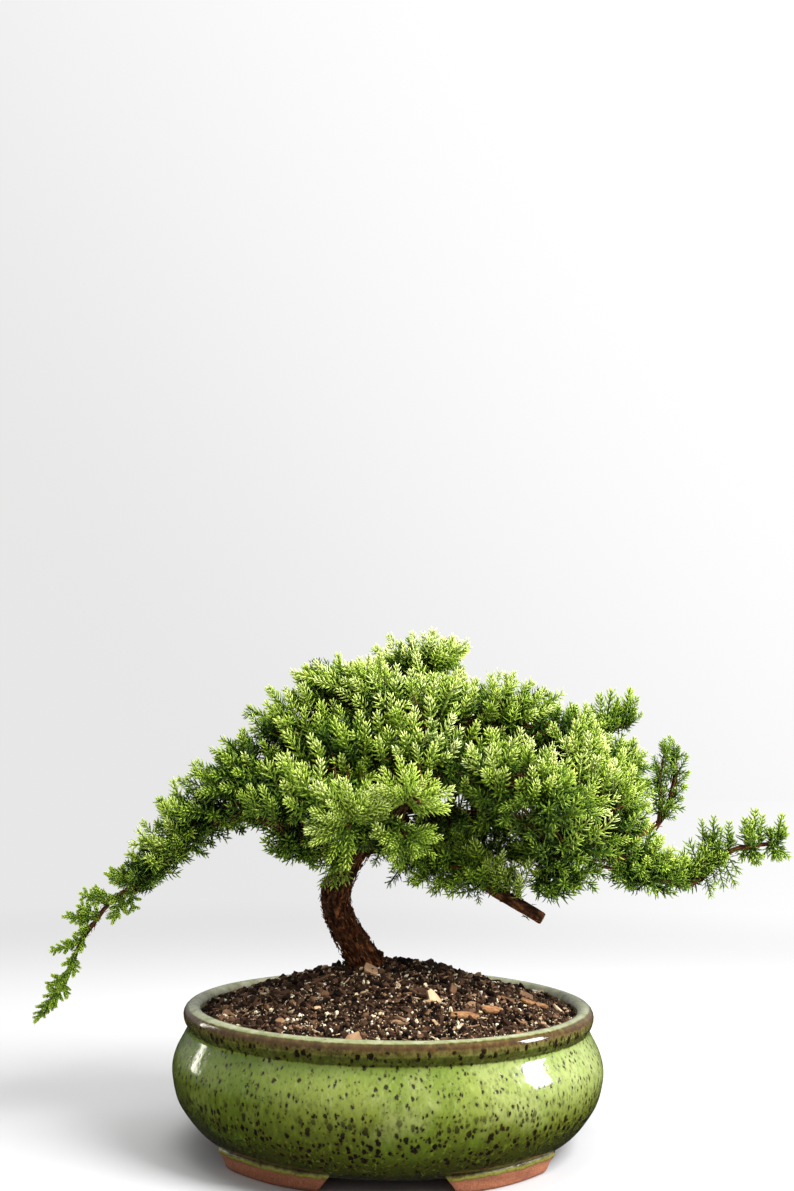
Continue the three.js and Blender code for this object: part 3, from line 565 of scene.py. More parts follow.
def foot_material():
    """Unglazed fired clay below, a thin yellow-green glaze edge above."""
    s = Shader("foot_clay_and_glaze", Roughness=0.85)
    p = s.mm()
    x, y, z = s.xyz(p)
    n = s.noise(s.vmath("MULTIPLY", p, (1.0, 1.0, 0.4)), 0.20, 3.0, 0.55)
    edge = s.math("ADD", z, s.math("MULTIPLY", s.math("SUBTRACT", n, 0.5), 3.4))
    grain = s.noise(p, 1.3, 4.0, 0.65)
    clay = s.ramp(grain, [(0.30, lin(122, 72, 46)), (0.5, lin(154, 93, 64)), (0.70, lin(180, 118, 86))])
    stain = s.noise(p, 0.11, 3.0, 0.6)
    clay = s.mix(s.span(stain, 0.50, 0.72, 0.0, 0.45), clay, lin(110, 64, 42))
    glaze = s.ramp(s.math("DIVIDE", edge, 12.0), [(0.60, lin(92, 60, 30)), (0.64, lin(132, 124, 52)), (0.74, lin(142, 146, 62)),
                                                 (0.82, lin(96, 86, 34)), (0.88, lin(44, 28, 14))])
    glaze = s.mix(s.span(s.noise(p, 0.5, 3.0, 0.6), 0.45, 0.7, 0.0, 0.6), glaze, lin(84, 66, 28))
    m = s.span(edge, 7.2, 7.6)
    s.to("Base Color", s.mix(m, clay, glaze))
    s.to("Roughness", s.span(m, 0.0, 1.0, 0.86, 0.2))
    s.to("Normal", s.bump(s.math("ADD", grain, s.math("MULTIPLY", m, 0.9)), 0.5, 0.0005))
    return s.mat


def soil_material():
    s = Shader("potting_soil", Roughness=0.95)
    p = s.mm()
    n = s.noise(p, 0.55, 5.0, 0.7)
    m = s.noise(p, 0.12, 3.0, 0.5)
    colour = s.ramp(n, [(0.32, lin(18, 11, 8)), (0.5, lin(50, 36, 27)), (0.66, lin(88, 66, 50))])
    s.to("Base Color", s.mix(s.span(m, 0.45, 0.7, 0.0, 0.5), colour, lin(30, 18, 12)))
    s.to("Normal", s.bump(n, 1.0, 0.0015))
    s.bsdf.inputs["Specular IOR Level"].default_value = 0.2
    return s.mat


def grain_material():
    """Loose grains. V picks the stuff, from black humus through bark to pale perlite, and U its shade."""
    s = Shader("loose_grains", Roughness=0.92)
    u, v, _ = uv_parts(s)
    colour = s.ramp(v, [
        (0.0, lin(13, 8, 5)), (0.16, lin(32, 21, 15)), (0.30, lin(70, 50, 38)), (0.42, lin(98, 72, 54)),
        (0.50, lin(118, 88, 64)), (0.60, lin(140, 108, 80)), (0.70, lin(166, 134, 102)), (0.80, lin(194, 168, 134)),
        (0.88, lin(216, 198, 164)), (1.0, lin(240, 234, 212))])
    shade = s.ramp(u, [(0.0, (0.45, 0.44, 0.43, 1)), (0.5, (0.86, 0.86, 0.86, 1)), (1.0, (1.28, 1.25, 1.22, 1))])
    s.to("Base Color", s.mix(1.0, colour, shade, "MULTIPLY"))
    s.bsdf.inputs["Specular IOR Level"].default_value = 0.2
    return s.mat


def flake_material():
    s = Shader("bark_flakes", Roughness=0.85)
    p = s.mm()
    layered = s.noise(s.vmath("MULTIPLY", p, (0.5, 1.3, 1.3)), 0.6, 5.0, 0.65, 0.5)
    colour = s.ramp(layered, [(0.30, lin(84, 54, 34)), (0.48, lin(144, 102, 66)), (0.62, lin(178, 138, 98)), (0.74, lin(130, 88, 56))])
    s.to("Base Color", colour)
    s.to("Normal", s.bump(layered, 0.7, 0.0008))
    s.bsdf.inputs["Specular IOR Level"].default_value = 0.2
    return s.mat


def screen_material():
    s = Shader("screen_plastic", Roughness=0.6)
    p = s.mm()
    n = s.noise(p, 1.4, 3.0, 0.6)
    s.to("Base Color", s.ramp(n, [(0.35, lin(22, 24, 23)), (0.65, lin(40, 43, 42))]))
    s.to("Roughness", s.span(n, 0.3, 0.7, 0.5, 0.72))
    s.to("Normal", s.bump(n, 0.3, 0.0003))
    return s.mat


NEEDLE = needle_material()
BARK = stem_material("trunk_bark", lin(17, 7, 3), lin(66, 32, 14), lin(148, 94, 52), grain=0.55)
TWIG = stem_material("twig_bark", lin(42, 26, 14), lin(84, 55, 31), lin(130, 98, 58), red=0.30, grain=2.2)
CUT = cut_wood_material()
GLAZE = glaze_material()
FOOT = foot_material()
SOIL = soil_material()
GRAIN = grain_material()
FLAKE = flake_material()
SCREEN = screen_material()


# ------------------------------------------------------------------ camera and light
CAM_POS = np.array([-1.7431, -786.39, 215.37])
CAM_R = (0.99991036, -0.00656192, 0.0116712)
CAM_U = (-0.01250833, -0.14681869, 0.98908433)
CAM_F = (0.00477674, 0.98914166, 0.1468876)


def make_camera():
    data = bpy.data.cameras.new("camera")
    data.lens, data.sensor_width, data.sensor_fit = 37.1477, 36.0, "AUTO"
    data.clip_start, data.clip_end = 0.01, 50
    cam = bpy.data.objects.new("camera", data)
    SCENE.collection.objects.link(cam)
    place_at = CAM_POS * 0.001 + AXIS
    cam.matrix_world = Matrix((
        (CAM_R[0], CAM_U[0], -CAM_F[0], place_at[0]),
        (CAM_R[1], CAM_U[1], -CAM_F[1], place_at[1]),
        (CAM_R[2], CAM_U[2], -CAM_F[2], place_at[2]),
        (0, 0, 0, 1)))
    SCENE.camera = cam


def area_light(name, position, target, size, size_y, power, colour=(1, 1, 1)):
    data = bpy.data.lights.new(name, "AREA")
    data.shape, data.size, data.size_y, data.energy, data.color = "RECTANGLE", size, size_y, power, colour
    obj = bpy.data.objects.new(name, data)
    SCENE.collection.objects.link(obj)
    obj.location = Vector(position) + Vector(AXIS)
    obj.rotation_mode = "QUATERNION"
    obj.rotation_quaternion = (Vector(target) - Vector(position)).to_track_quat("-Z", "Y")
    return obj


def make_stage():
    SCENE.view_settings.view_transform = "Standard"
    SCENE.view_settings.look = "None"
    # floor: a wide pale disc whose far part melts into the colour behind it
    rings, around = [0, 0.2, 0.4, 0.7, 1.2, 2.5, 6.0, 14.0], 96
    verts = [(0, 0, 0)]
    for r in rings[1:]:
        for k in range(around):
            a = 2 * math.pi * k / around
            verts.append((r * math.cos(a), r * math.sin(a), 0))
    faces = [(0, 1 + k, 1 + (k + 1) % around) for k in range(around)]
    for i in range(len(rings) - 2):
        for k in range(around):
            a, b = 1 + i * around + k, 1 + i * around + (k + 1) % around
            faces.append((a, a + around, b + around, b))
    mesh = bpy.data.meshes.new("floor")
    mesh.from_pydata(verts, [], faces)
    floor = bpy.data.objects.new("floor", mesh)
    floor.location = (AXIS[0], AXIS[1], -0.00005)
    SCENE.collection.objects.link(floor)
    s = Shader("pale_floor", Roughness=0.55)
    s.to("Base Color", (0.60, 0.60, 0.605, 1))
    # painted light: the far part of the floor glows, brighter towards +X, to pass into the background
    p = s.node("TexCoord").outputs["Object"]
    way = s.vmath("DOT_PRODUCT", s.vmath("NORMALIZE", p), (0.78, 0.0, 0.0))
    glow = s.node("Emission", {"Color": (1, 1, 1, 1), "Strength": s.span(way, -0.15, 0.48, 0.80, 1.02)})
    d = s.vmath("LENGTH", p)
    fade = s.span(d, 0.35, 1.5)
    blend = s.node("MixShader")
    s.set(blend.inputs[0], fade)
    s.set(blend.inputs[1], s.bsdf.outputs[0])
    s.set(blend.inputs[2], glow.outputs[0])
    s.set(s.out.inputs[0], blend.outputs[0])
    mesh.materials.append(s.mat)
    floor.visible_glossy = False       # the glaze mirrors the soft light around it and not a white sheet

    world = bpy.data.worlds.new("studio")
    SCENE.world = world
    world.use_nodes = True
    t = world.node_tree
    t.nodes.clear()
    out = t.nodes.new("ShaderNodeOutputWorld")
    back = t.nodes.new("ShaderNodeBackground")
    room = t.nodes.new("ShaderNodeBackground")
    mixer = t.nodes.new("ShaderNodeMixShader")
    path = t.nodes.new("ShaderNodeLightPath")
    coord = t.nodes.new("ShaderNodeTexCoord")
    sep = t.nodes.new("ShaderNodeSeparateXYZ")
    t.links.new(coord.outputs["Generated"], sep.inputs[0])
    dot = t.nodes.new("ShaderNodeVectorMath")
    dot.operation = "DOT_PRODUCT"
    t.links.new(coord.outputs["Generated"], dot.inputs[0])
    dot.inputs[1].default_value = (0.78, 0.0, 0.62)
    spread = t.nodes.new("ShaderNodeMapRange")
    spread.interpolation_type = "SMOOTHSTEP"
    spread.inputs[1].default_value, spread.inputs[2].default_value = -0.15, 0.48
    spread.inputs[3].default_value, spread.inputs[4].default_value = 0.80, 1.02
    t.links.new(dot.outputs["Value"], spread.inputs[0])
    back.inputs[0].default_value = (1, 1, 1, 1)
    t.links.new(spread.outputs[0], back.inputs[1])
    room.inputs[0].default_value = (1, 1, 1, 1)
    lift = t.nodes.new("ShaderNodeValToRGB")
    ramp = lift.color_ramp
    ramp.elements[0].position, ramp.elements[0].color = 0.44, (0.02, 0.02, 0.02, 1)
    ramp.elements[1].position, ramp.elements[1].color = 0.95, (0.62, 0.62, 0.62, 1)
    middle = ramp.elements.new(0.54)
    middle.color = (0.28, 0.28, 0.28, 1)
    half = t.nodes.new("ShaderNodeMath")
    half.operation = "MULTIPLY_ADD"
    half.inputs[1].default_value, half.inputs[2].default_value = 0.5, 0.5
    t.links.new(sep.outputs[2], half.inputs[0])
    t.links.new(half.outputs[0], lift.inputs[0])
    t.links.new(lift.outputs[0], room.inputs[1])
    t.links.new(path.outputs["Is Camera Ray"], mixer.inputs[0])
    t.links.new(room.outputs[0], mixer.inputs[1])
    t.links.new(back.outputs[0], mixer.inputs[2])
    t.links.new(mixer.outputs[0], out.inputs[0])

    area_light("window", (1.20, -0.11, 0.56), (0, 0, 0.14), 0.30, 0.44, 12)
    area_light("key", (0.85, -0.55, 1.20), (0, 0, 0.18), 0.6, 0.6, 34).visible_glossy = False
    area_light("top", (-0.15, 0.15, 1.5), (0, 0, 0.1), 1.1, 1.1, 16).visible_glossy = False
    area_light("rim_left", (-1.1, 0.55, 0.35), (0, 0, 0.1), 0.16, 0.5, 2.0, (1, 0.97, 0.86))


# ------------------------------------------------------------------ pot
def pot_profile():
    outer = spline([(r, z, 0) for r, z in POT_OUTER[:-1]] + [(98, 5.5, 0)], 1.6)[:, :2]
    inner_curve = spline([(r, z, 0) for r, z in POT_INNER[2:]] + [(119.5, 79.8, 0)], 2.2)[:, :2]
    straight = lambda a, b, n: np.linspace(a, b, n, endpoint=False)
    under = straight((98, 5.5), (14.2, 5.5), 22)[1:]
    hole = np.array([(13.4, 5.8), (13, 6.6), (13, 9.2), (13, 12), (13.3, 12.8), (14.2, 13)])
    floor = straight((14.2, 13), (92, 13), 22)[1:]
    return np.vstack([outer, under, hole, floor, inner_curve[:-1]])


def lathe_grid(profile, columns, wobble=None):
    """A closed lathe: profile (n, 2) runs once round the section. Returns vertices, quads and per-loop UV."""
    n = len(profile)
    angle = np.arange(columns) / columns * 2 * math.pi
    r, z = profile[:, 0][:, None], profile[:, 1][:, None]
    a = angle[None, :]
    if wobble is not None:
        dr, dz = wobble(r, z, a)
        r, z = r + dr, z + dz
    verts = np.stack([r * np.cos(a), r * np.sin(a), np.broadcast_to(z, (n, columns))], -1).reshape(-1, 3)
    i, j = np.meshgrid(np.arange(n), np.arange(columns), indexing="ij")
    i2, j2 = (i + 1) % n, (j + 1) % columns
    quads = np.stack([i * columns + j, i2 * columns + j, i2 * columns + j2, i * columns + j2], -1).reshape(-1, 4)
    arc = np.concatenate([[0], np.cumsum(np.linalg.norm(np.diff(np.vstack([profile, profile[:1]]), axis=0), axis=1))])
    arc = arc / arc[-1] * 0.996 + 0.002
    u0, u1 = j / columns, (j + 1) / columns
    v0, v1 = arc[i], arc[i + 1]
    uv = np.stack([np.stack([u0, v0], -1), np.stack([u0, v1], -1), np.stack([u1, v1], -1), np.stack([u1, v0], -1)], -2).reshape(-1, 4, 2)
    return verts, quads, uv


def make_pot():
    profile = pot_profile()

    def wobble(r, z, a):
        high = np.clip((z - 20) / 40, 0, 1)
        dr = 0.22 * np.sin(2 * a + 0.7) * high + 0.14 * np.sin(5 * a + z * 0.09) * high + 0.10 * np.sin(9 * a - z * 0.21 + 1.1)
        dz = (0.25 * np.sin(2 * a - 0.4) + 0.12 * np.sin(7 * a + 0.9)) * np.clip((z - 60) / 15, 0, 1) + 0 * r
        return dr * np.clip((r - 60) / 30, 0, 1), dz
    verts, quads, uv = lathe_grid(profile, 288, wobble)
    buf = Buf()
    buf.add(verts, [(quads[:, ::-1], uv[:, ::-1], 0)])
    pot = buf.make("pot_glazed", [GLAZE])
    place(pot, "glaze", "pot")

    section = spline([(97.0, 3.0, 0), (97.3, 0.6, 0), (98.6, 0.02, 0), (103, 0, 0), (108.8, 0.02, 0), (110.2, 0.5, 0), (110.7, 1.7, 0),
                      (111.1, 4.0, 0), (111.7, 6.4, 0), (112.5, 8.4, 0), (112.5, 9.6, 0), (111.2, 11.0, 0), (108, 12.0, 0),
                      (103, 12.2, 0), (99, 12.0, 0), (97.0, 10, 0)], 0.9)[:, :2]
    section[:, 1] = np.maximum(section[:, 1], 0.0)
    centre = np.array([104.0, 6.0])
    rng = np.random.default_rng(5)
    for side, sx, sy in (("front_right", 1, -1), ("front_left", -1, -1), ("back_right", 1, 1), ("back_left", -1, 1)):
        cols = 64
        t = np.linspace(0, 1, cols)
        shrink = np.ones(cols)
        for k, s in ((0, 0.90), (1, 0.965), (2, 0.992)):
            shrink[k] = shrink[-1 - k] = s
        t[1], t[2] = 0.004, 0.012
        t[-2], t[-3] = 0.996, 0.988
        cuts = rng.uniform(-0.6, 0.6, 2)
        rows = []
        for k in range(cols):
            sec = centre + (section - centre) * shrink[k]
            sec[:, 1] = np.where(section[:, 1] < 0.05, np.where(shrink[k] < 1, (1 - shrink[k]) * 4.0, 0.0), sec[:, 1])
            r, z = sec[:, 0], sec[:, 1]
            drop = np.clip(1 - z / 5.5, -1.2, 1)
            xa = 33 + 4 * drop + cuts[0]            # the foot ends on a plane x = xa on one side and y = yb on the other
            yb = 63 + 4 * drop + cuts[1]
            a0 = np.arcsin(np.clip(xa / r, -1, 1))
            a1 = np.arccos(np.clip(yb / r, -1, 1))
            a = a0 + (a1 - a0) * t[k]
            rr = r + 0.25 * np.sin(5 * a + sx + 2 * sy) + 0.18 * np.sin(13 * a + z)
            rows.append(np.stack([sx * rr * np.sin(a), sy * rr * np.cos(a), z], -1))
        rows = np.array(rows)
        m = len(section)
        verts = rows.reshape(-1, 3)
        i, j = np.meshgrid(np.arange(cols - 1), np.arange(m), indexing="ij")
        j2 = (j + 1) % m
        quads = np.stack([i * m + j, (i + 1) * m + j, (i + 1) * m + j2, i * m + j2], -1).reshape(-1, 4)
        ends = []
        base = len(verts)
        mids = [rows[0].mean(0), rows[-1].mean(0)]
        verts = np.vstack([verts, mids])
        for j in range(m):
            ends.append((base, (j), (j + 1) % m))
            ends.append((base + 1, (cols - 1) * m + (j + 1) % m, (cols - 1) * m + j))
        ends = np.array(ends)
        if sx * sy > 0:
            quads, ends = quads[:, ::-1], ends[:, ::-1]
        buf = Buf()
        buf.add(verts, [(quads, None, 0), (ends, None, 0)])
        foot = buf.make(f"foot_{side}", [FOOT], sharp=50)
        place(foot, "clay", f"pot_foot_{side}")


# ------------------------------------------------------------------ soil
_TOP = np.array([(r, z) for r, z in SOIL_PROFILE if z >= 74.4])[::-1]


def mound_height(x, y):
    r = np.hypot(x, y)
    z = np.interp(r, _TOP[:, 0], _TOP[:, 1])
    wave = np.sin(x * 0.11 + 1.3) * np.cos(y * 0.13 - 0.4) + 0.6 * np.sin(x * 0.23 - y * 0.19)
    z = z + 1.1 * wave * np.clip((113 - r) / 25, 0, 1)
    p = np.stack([x, y, 0 * x], -1).reshape(-1, 3)
    lump = fbm(p / 9.0, 3, 31).reshape(np.shape(x))
    return z + 0.9 * lump * np.clip((113 - r) / 10, 0.1, 1)


def chunk_templates(rng, count, subdivide):
    """Rough closed lumps of about unit radius."""
    g = (1 + 5 ** 0.5) / 2
    v = unit(np.array([(-1, g, 0), (1, g, 0), (-1, -g, 0), (1, -g, 0), (0, -1, g), (0, 1, g), (0, -1, -g), (0, 1, -g), (g, 0, -1), (g, 0, 1),
                       (-g, 0, -1), (-g, 0, 1)], float))
    f = [(0, 11, 5), (0, 5, 1), (0, 1, 7), (0, 7, 10), (0, 10, 11), (1, 5, 9), (5, 11, 4), (11, 10, 2), (10, 7, 6), (7, 1, 8),
         (3, 9, 4), (3, 4, 2), (3, 2, 6), (3, 6, 8), (3, 8, 9), (4, 9, 5), (2, 4, 11), (6, 2, 10), (8, 6, 7), (9, 8, 1)]
    if subdivide:
        verts, cache, out = list(v), {}, []

        def mid(a, b):
            key = (min(a, b), max(a, b))
            if key not in cache:
                cache[key] = len(verts)
                verts.append(unit(verts[a] + verts[b]))
            return cache[key]
        for a, b, c in f:
            ab, bc, ca = mid(a, b), mid(b, c), mid(c, a)
            out += [(a, ab, ca), (b, bc, ab), (c, ca, bc), (ab, bc, ca)]
        v, f = np.array(verts), out
    f = np.array(f)
    shapes = []
    for k in range(count):
        s = v * (1 + rng.uniform(-0.28, 0.28, (len(v), 1))) + rng.uniform(-0.1, 0.1, v.shape)
        s = s * rng.uniform(0.6, 1.25, 3)
        shapes.append(s)
    return shapes, f


def flake_template(rng, sides):
    """A thin, slightly curled chip of bark, unit length along X."""
    a = np.sort((np.arange(sides) + rng.uniform(-0.3, 0.3, sides)) / sides * 2 * math.pi)
    rad = 0.5 * (1 + rng.uniform(-0.22, 0.16, sides))
    x, y = rad * np.cos(a), rad * np.sin(a)
    curl = rng.uniform(-0.5, 0.5)
    lift = curl * x * x + rng.uniform(-0.3, 0.3) * x * y
    top = np.stack([x * 0.94, y * 0.94, lift + 0.5 * 0.16], -1)
    mid = np.stack([x, y, lift], -1)
    bottom = np.stack([x * 0.9, y * 0.9, lift - 0.5 * 0.16], -1)
    v = np.vstack([top, mid, bottom, [[0, 0, 0.08]], [[0, 0, -0.08]]])
    f = []
    n = sides
    for k in range(n):
        m = (k + 1) % n
        f += [(3 * n, k, m), (3 * n + 1, 2 * n + m, 2 * n + k), (k, n + k, n + m), (k, n + m, m), (n + k, 2 * n + k, 2 * n + m), (n + k, 2 * n + m, n + m)]
    return v, np.array(f)


def rotations(rng, n, flat=1.0):
    """Random turns; flat < 1 keeps Z near up."""
    yaw = rng.uniform(0, 2 * math.pi, n)
    if flat >= 1:
        q = unit(rng.normal(size=(n, 4)))
        w, x, y, z = q.T
        return np.stack([np.stack([1 - 2 * (y * y + z * z), 2 * (x * y - z * w), 2 * (x * z + y * w)], -1),
                         np.stack([2 * (x * y + z * w), 1 - 2 * (x * x + z * z), 2 * (y * z - x * w)], -1),
                         np.stack([2 * (x * z - y * w), 2 * (y * z + x * w), 1 - 2 * (x * x + y * y)], -1)], -2)
    c, s = np.cos(yaw), np.sin(yaw)
    o, l = np.zeros(n), np.ones(n)
    turn = np.stack([np.stack([c, -s, o], -1), np.stack([s, c, o], -1), np.stack([o, o, l], -1)], -2)
    tx, ty = rng.normal(0, flat, n), rng.normal(0, flat, n)
    cx, sx, cy, sy = np.cos(tx), np.sin(tx), np.cos(ty), np.sin(ty)
    rx = np.stack([np.stack([l, o, o], -1), np.stack([o, cx, -sx], -1), np.stack([o, sx, cx], -1)], -2)
    ry = np.stack([np.stack([cy, o, sy], -1), np.stack([o, l, o], -1), np.stack([-sy, o, cy], -1)], -2)
    return rx @ ry @ turn


def scatter_positions(rng, n, near_rim=0.0):
    r = 113.6 * np.sqrt(rng.uniform(0, 1, n))
    a = rng.uniform(0, 2 * math.pi, n)
    x, y = r * np.cos(a), r * np.sin(a)
    z = mound_height(x, y)
    return x, y, z, r


def slope_turns(x, y):
    """Rotation that lays Z on the mound's slope at each point."""
    e = 1.5
    dx = (mound_height(x + e, y) - mound_height(x - e, y)) / (2 * e)
    dy = (mound_height(x, y + e) - mound_height(x, y - e)) / (2 * e)
    n = unit(np.stack([-dx, -dy, np.ones_like(dx)], -1))
    t = unit(np.cross(np.array([0, 1.0, 0]), n))
    b = np.cross(n, t)
    return np.stack([t, b, n], -1)


def grains(buf, rng, shapes, faces, x, y, z, size, v_range, rot, shade=(0.15, 0.95)):
    pick = rng.integers(0, len(shapes), len(x))
    tint = rng.uniform(v_range[0], v_range[1], len(x))
    for k, shape in enumerate(shapes):
        idx = np.where(pick == k)[0]
        if not len(idx):
            continue
        pos = np.einsum("mij,nj->mni", rot[idx], shape) * size[idx][:, None, None] + np.stack([x, y, z], -1)[idx][:, None, :]
        m, n = len(idx), len(shape)
        f = (faces[None] + (np.arange(m) * n)[:, None, None]).reshape(-1, 3)
        vert_u = rng.uniform(shade[0], shade[1], (m, n))
        vert_v = np.clip(tint[idx][:, None] + rng.uniform(-0.012, 0.012, (m, n)), 0.002, 0.998)
        uv = np.stack([vert_u.ravel()[f], vert_v.ravel()[f]], -1)
        buf.add(pos.reshape(-1, 3), [(f, uv, 0)])


def make_soil():
    rng = np.random.default_rng(77)
    # closed mound: bottom and sides as in the pot, top a fine displaced surface
    low = [p for p in SOIL_PROFILE if p[1] < 74.4]
    low = np.vstack([np.linspace(low[k], low[k + 1], 6, endpoint=False) for k in range(len(low) - 1)] + [[low[-1]]])
    top_r = np.concatenate([[112.9], np.linspace(112.0, 0.4, 96)])
    cols = 300
    a = np.arange(cols) / cols * 2 * math.pi
    rows = []
    for r, z in low:
        rows.append(np.stack([max(r, 0.3) * np.cos(a), max(r, 0.3) * np.sin(a), np.full(cols, z)], -1))
    for r in top_r:
        x, y = r * np.cos(a), r * np.sin(a)
        z = mound_height(x, y)
        p = np.stack([x, y, z * 0], -1)
        z = z + (0.75 * fbm(p / 2.6, 2, 7) + 0.35 * vnoise(p / 0.9, 9)) * np.clip((113 - r) / 3, 0, 1)
        rows.append(np.stack([x, y, z], -1))
    rows = np.array(rows)
    n = len(rows)
    verts = np.vstack([rows.reshape(-1, 3), [[0, 0, low[0][1]]], [[0, 0, rows[-1][:, 2].mean()]]])
    i, j = np.meshgrid(np.arange(n - 1), np.arange(cols), indexing="ij")
    j2 = (j + 1) % cols
    quads = np.stack([i * cols + j, i * cols + j2, (i + 1) * cols + j2, (i + 1) * cols + j], -1).reshape(-1, 4)
    k = np.arange(cols)
    caps = np.vstack([np.stack([np.full(cols, n * cols), (k + 1) % cols, k], -1),
                      np.stack([np.full(cols, n * cols + 1), (n - 1) * cols + k, (n - 1) * cols + (k + 1) % cols], -1)])
    buf = Buf()
    buf.add(verts, [(quads, None, 0), (caps, None, 0)])
    place(buf.make("soil_mound", [SOIL], smooth=False), "soil", "potting_soil")

    clear = lambda x, y, z: (np.hypot(x + 12, y + 3) > 9.5)
    shapes, faces = chunk_templates(rng, 14, False)
    fine_shapes, fine_faces = chunk_templates(rng, 12, True)

    # dark crumbs
    buf = Buf()
    x, y, z, r = scatter_positions(rng, 7400)
    keep = clear(x, y, z)
    x, y, z, r = x[keep], y[keep], z[keep], r[keep]
    size = rng.lognormal(math.log(0.95), 0.42, len(x)).clip(0.4, 3.0)
    grains(buf, rng, shapes, faces, x, y, z + 0.35 * size - 0.2, size, (0.0, 0.52), rotations(rng, len(x)))
    x, y, z, r = scatter_positions(rng, 900)
    size = rng.uniform(1.2, 2.6, len(x))
    keep = clear(x, y, z)
    grains(buf, rng, shapes, faces, x[keep], y[keep], (z + 0.3 * size)[keep], size[keep], (0.05, 0.34), rotations(rng, int(keep.sum())))
    place(buf.make("soil_crumbs", [GRAIN], smooth=False), "soil")

    # pale perlite and grit
    buf = Buf()
    x, y, z, r = scatter_positions(rng, 2300)
    keep = clear(x, y, z)
    x, y, z = x[keep], y[keep], z[keep]
    size = rng.lognormal(math.log(0.42), 0.38, len(x)).clip(0.22, 1.0)
    grains(buf, rng, shapes, faces, x, y, z + 0.5 * size + 0.15, size, (0.78, 0.98), rotations(rng, len(x)), (0.35, 0.95))
    x, y, z, r = scatter_positions(rng, 300)
    keep = clear(x, y, z)
    x, y, z = x[keep], y[keep], z[keep]
    size = rng.uniform(0.8, 1.6, len(x))
    grains(buf, rng, fine_shapes, fine_faces, x, y, z + 0.5 * size, size, (0.86, 0.99), rotations(rng, len(x)), (0.45, 0.9))
    x, y, z, r = scatter_positions(rng, 5200)
    keep = clear(x, y, z) & ((r > 60) | (rng.uniform(size=len(r)) < 0.45))
    x, y, z = x[keep], y[keep], z[keep]
    size = rng.uniform(0.25, 0.60, len(x))
    grains(buf, rng, shapes, faces, x, y, z + 0.5 * size + 0.3, size, (0.66, 0.92), rotations(rng, len(x)), (0.35, 0.95))
    place(buf.make("perlite_grains", [GRAIN], smooth=False), "soil")

    # bark flakes, small and middling, laid on the slope
    buf = Buf()
    for k in range(10):
        v, f = flake_template(rng, int(rng.integers(6, 9)))
        count = 62
        x, y, z, r = scatter_positions(rng, count)
        keep = clear(x, y, z) & (r < 111)
        x, y, z = x[keep], y[keep], z[keep]
        m = len(x)
        length = rng.lognormal(math.log(4.2), 0.5, m).clip(1.8, 13)
        shape = v[None] * np.stack([length, length * rng.uniform(0.3, 0.75, m), np.maximum(length * 0.9, 2.6) * rng.uniform(0.7, 1.3, m)], -1)[:, None, :]
        rot = slope_turns(x, y) @ rotations(rng, m, 0.30)
        pos = np.einsum("mij,mnj->mni", rot, shape) + np.stack([x, y, z + 0.9], -1)[:, None, :]
        n = len(v)
        ff = (f[None] + (np.arange(m) * n)[:, None, None]).reshape(-1, 3)
        tint = np.where(rng.uniform(size=m) < 0.55, rng.uniform(0.16, 0.46, m), rng.uniform(0.46, 0.85, m))
        uu = rng.uniform(0.3, 0.95, (m, n))
        vv = np.clip(tint[:, None] + rng.uniform(-0.02, 0.02, (m, n)), 0.01, 0.99)
        buf.add(pos.reshape(-1, 3), [(ff, np.stack([uu.ravel()[ff], vv.ravel()[ff]], -1), 0)])
    # the larger ones, in the places where they lie in the open
    big = [(25, -60.5, 10.6, 4.2, 0.70, 0), (47, -57, 8, 5, 0.62, 60), (58, -56, 12, 6.5, 0.72, -15), (5, -85, 7, 4.5, 0.66, 10),
           (-42, -26, 16, 6, 0.40, 25), (81, 9, 12, 6, 0.66, -20), (19, -35, 10, 3, 0.55, 80), (106, -3, 12, 8, 0.74, 70),
           (70, -30, 9, 5, 0.50, 5), (60, -10, 11, 5, 0.46, 40), (35, 5, 9, 4, 0.42, -50), (-70, -40, 7, 4, 0.5, 15),
           (-60, -65, 8, 4, 0.45, -30), (8, -88, 7, 4, 0.52, 20), (95, 25, 10, 6, 0.6, 30), (40, 60, 12, 6, 0.6, 10),
           (-30, 70, 11, 6, 0.55, 70), (-75, 35, 10, 5, 0.48, -20), (70, 55, 9, 5, 0.68, 45), (-10, 95, 9, 5, 0.58, 0),
           (-90, 5, 8, 5, 0.44, 75), (10, -70, 9, 4.5, 0.36, -35), (75, -62, 7, 5, 0.55, 10), (-52, -84, 7, 4, 0.62, 50)]
    for cx, cy, length, width, tint, turn in big:
        v, f = flake_template(rng, 8)
        a = math.radians(turn)
        spin = np.array([[math.cos(a), -math.sin(a), 0], [math.sin(a), math.cos(a), 0], [0, 0, 1]])
        rot = slope_turns(np.array([float(cx)]), np.array([float(cy)]))[0] @ spin
        shape = v * np.array([length, width, 6.0])
        pos = shape @ rot.T + np.array([cx, cy, mound_height(np.array([float(cx)]), np.array([float(cy)]))[0] + 1.1])
        uu = rng.uniform(0.4, 0.9, len(v))
        vv = np.clip(tint + rng.uniform(-0.03, 0.03, len(v)), 0.01, 0.99)
        buf.add(pos, [(f, np.stack([uu[f], vv[f]], -1), 0)])
    place(buf.make("bark_flakes_small", [GRAIN], smooth=False), "bark_flake")

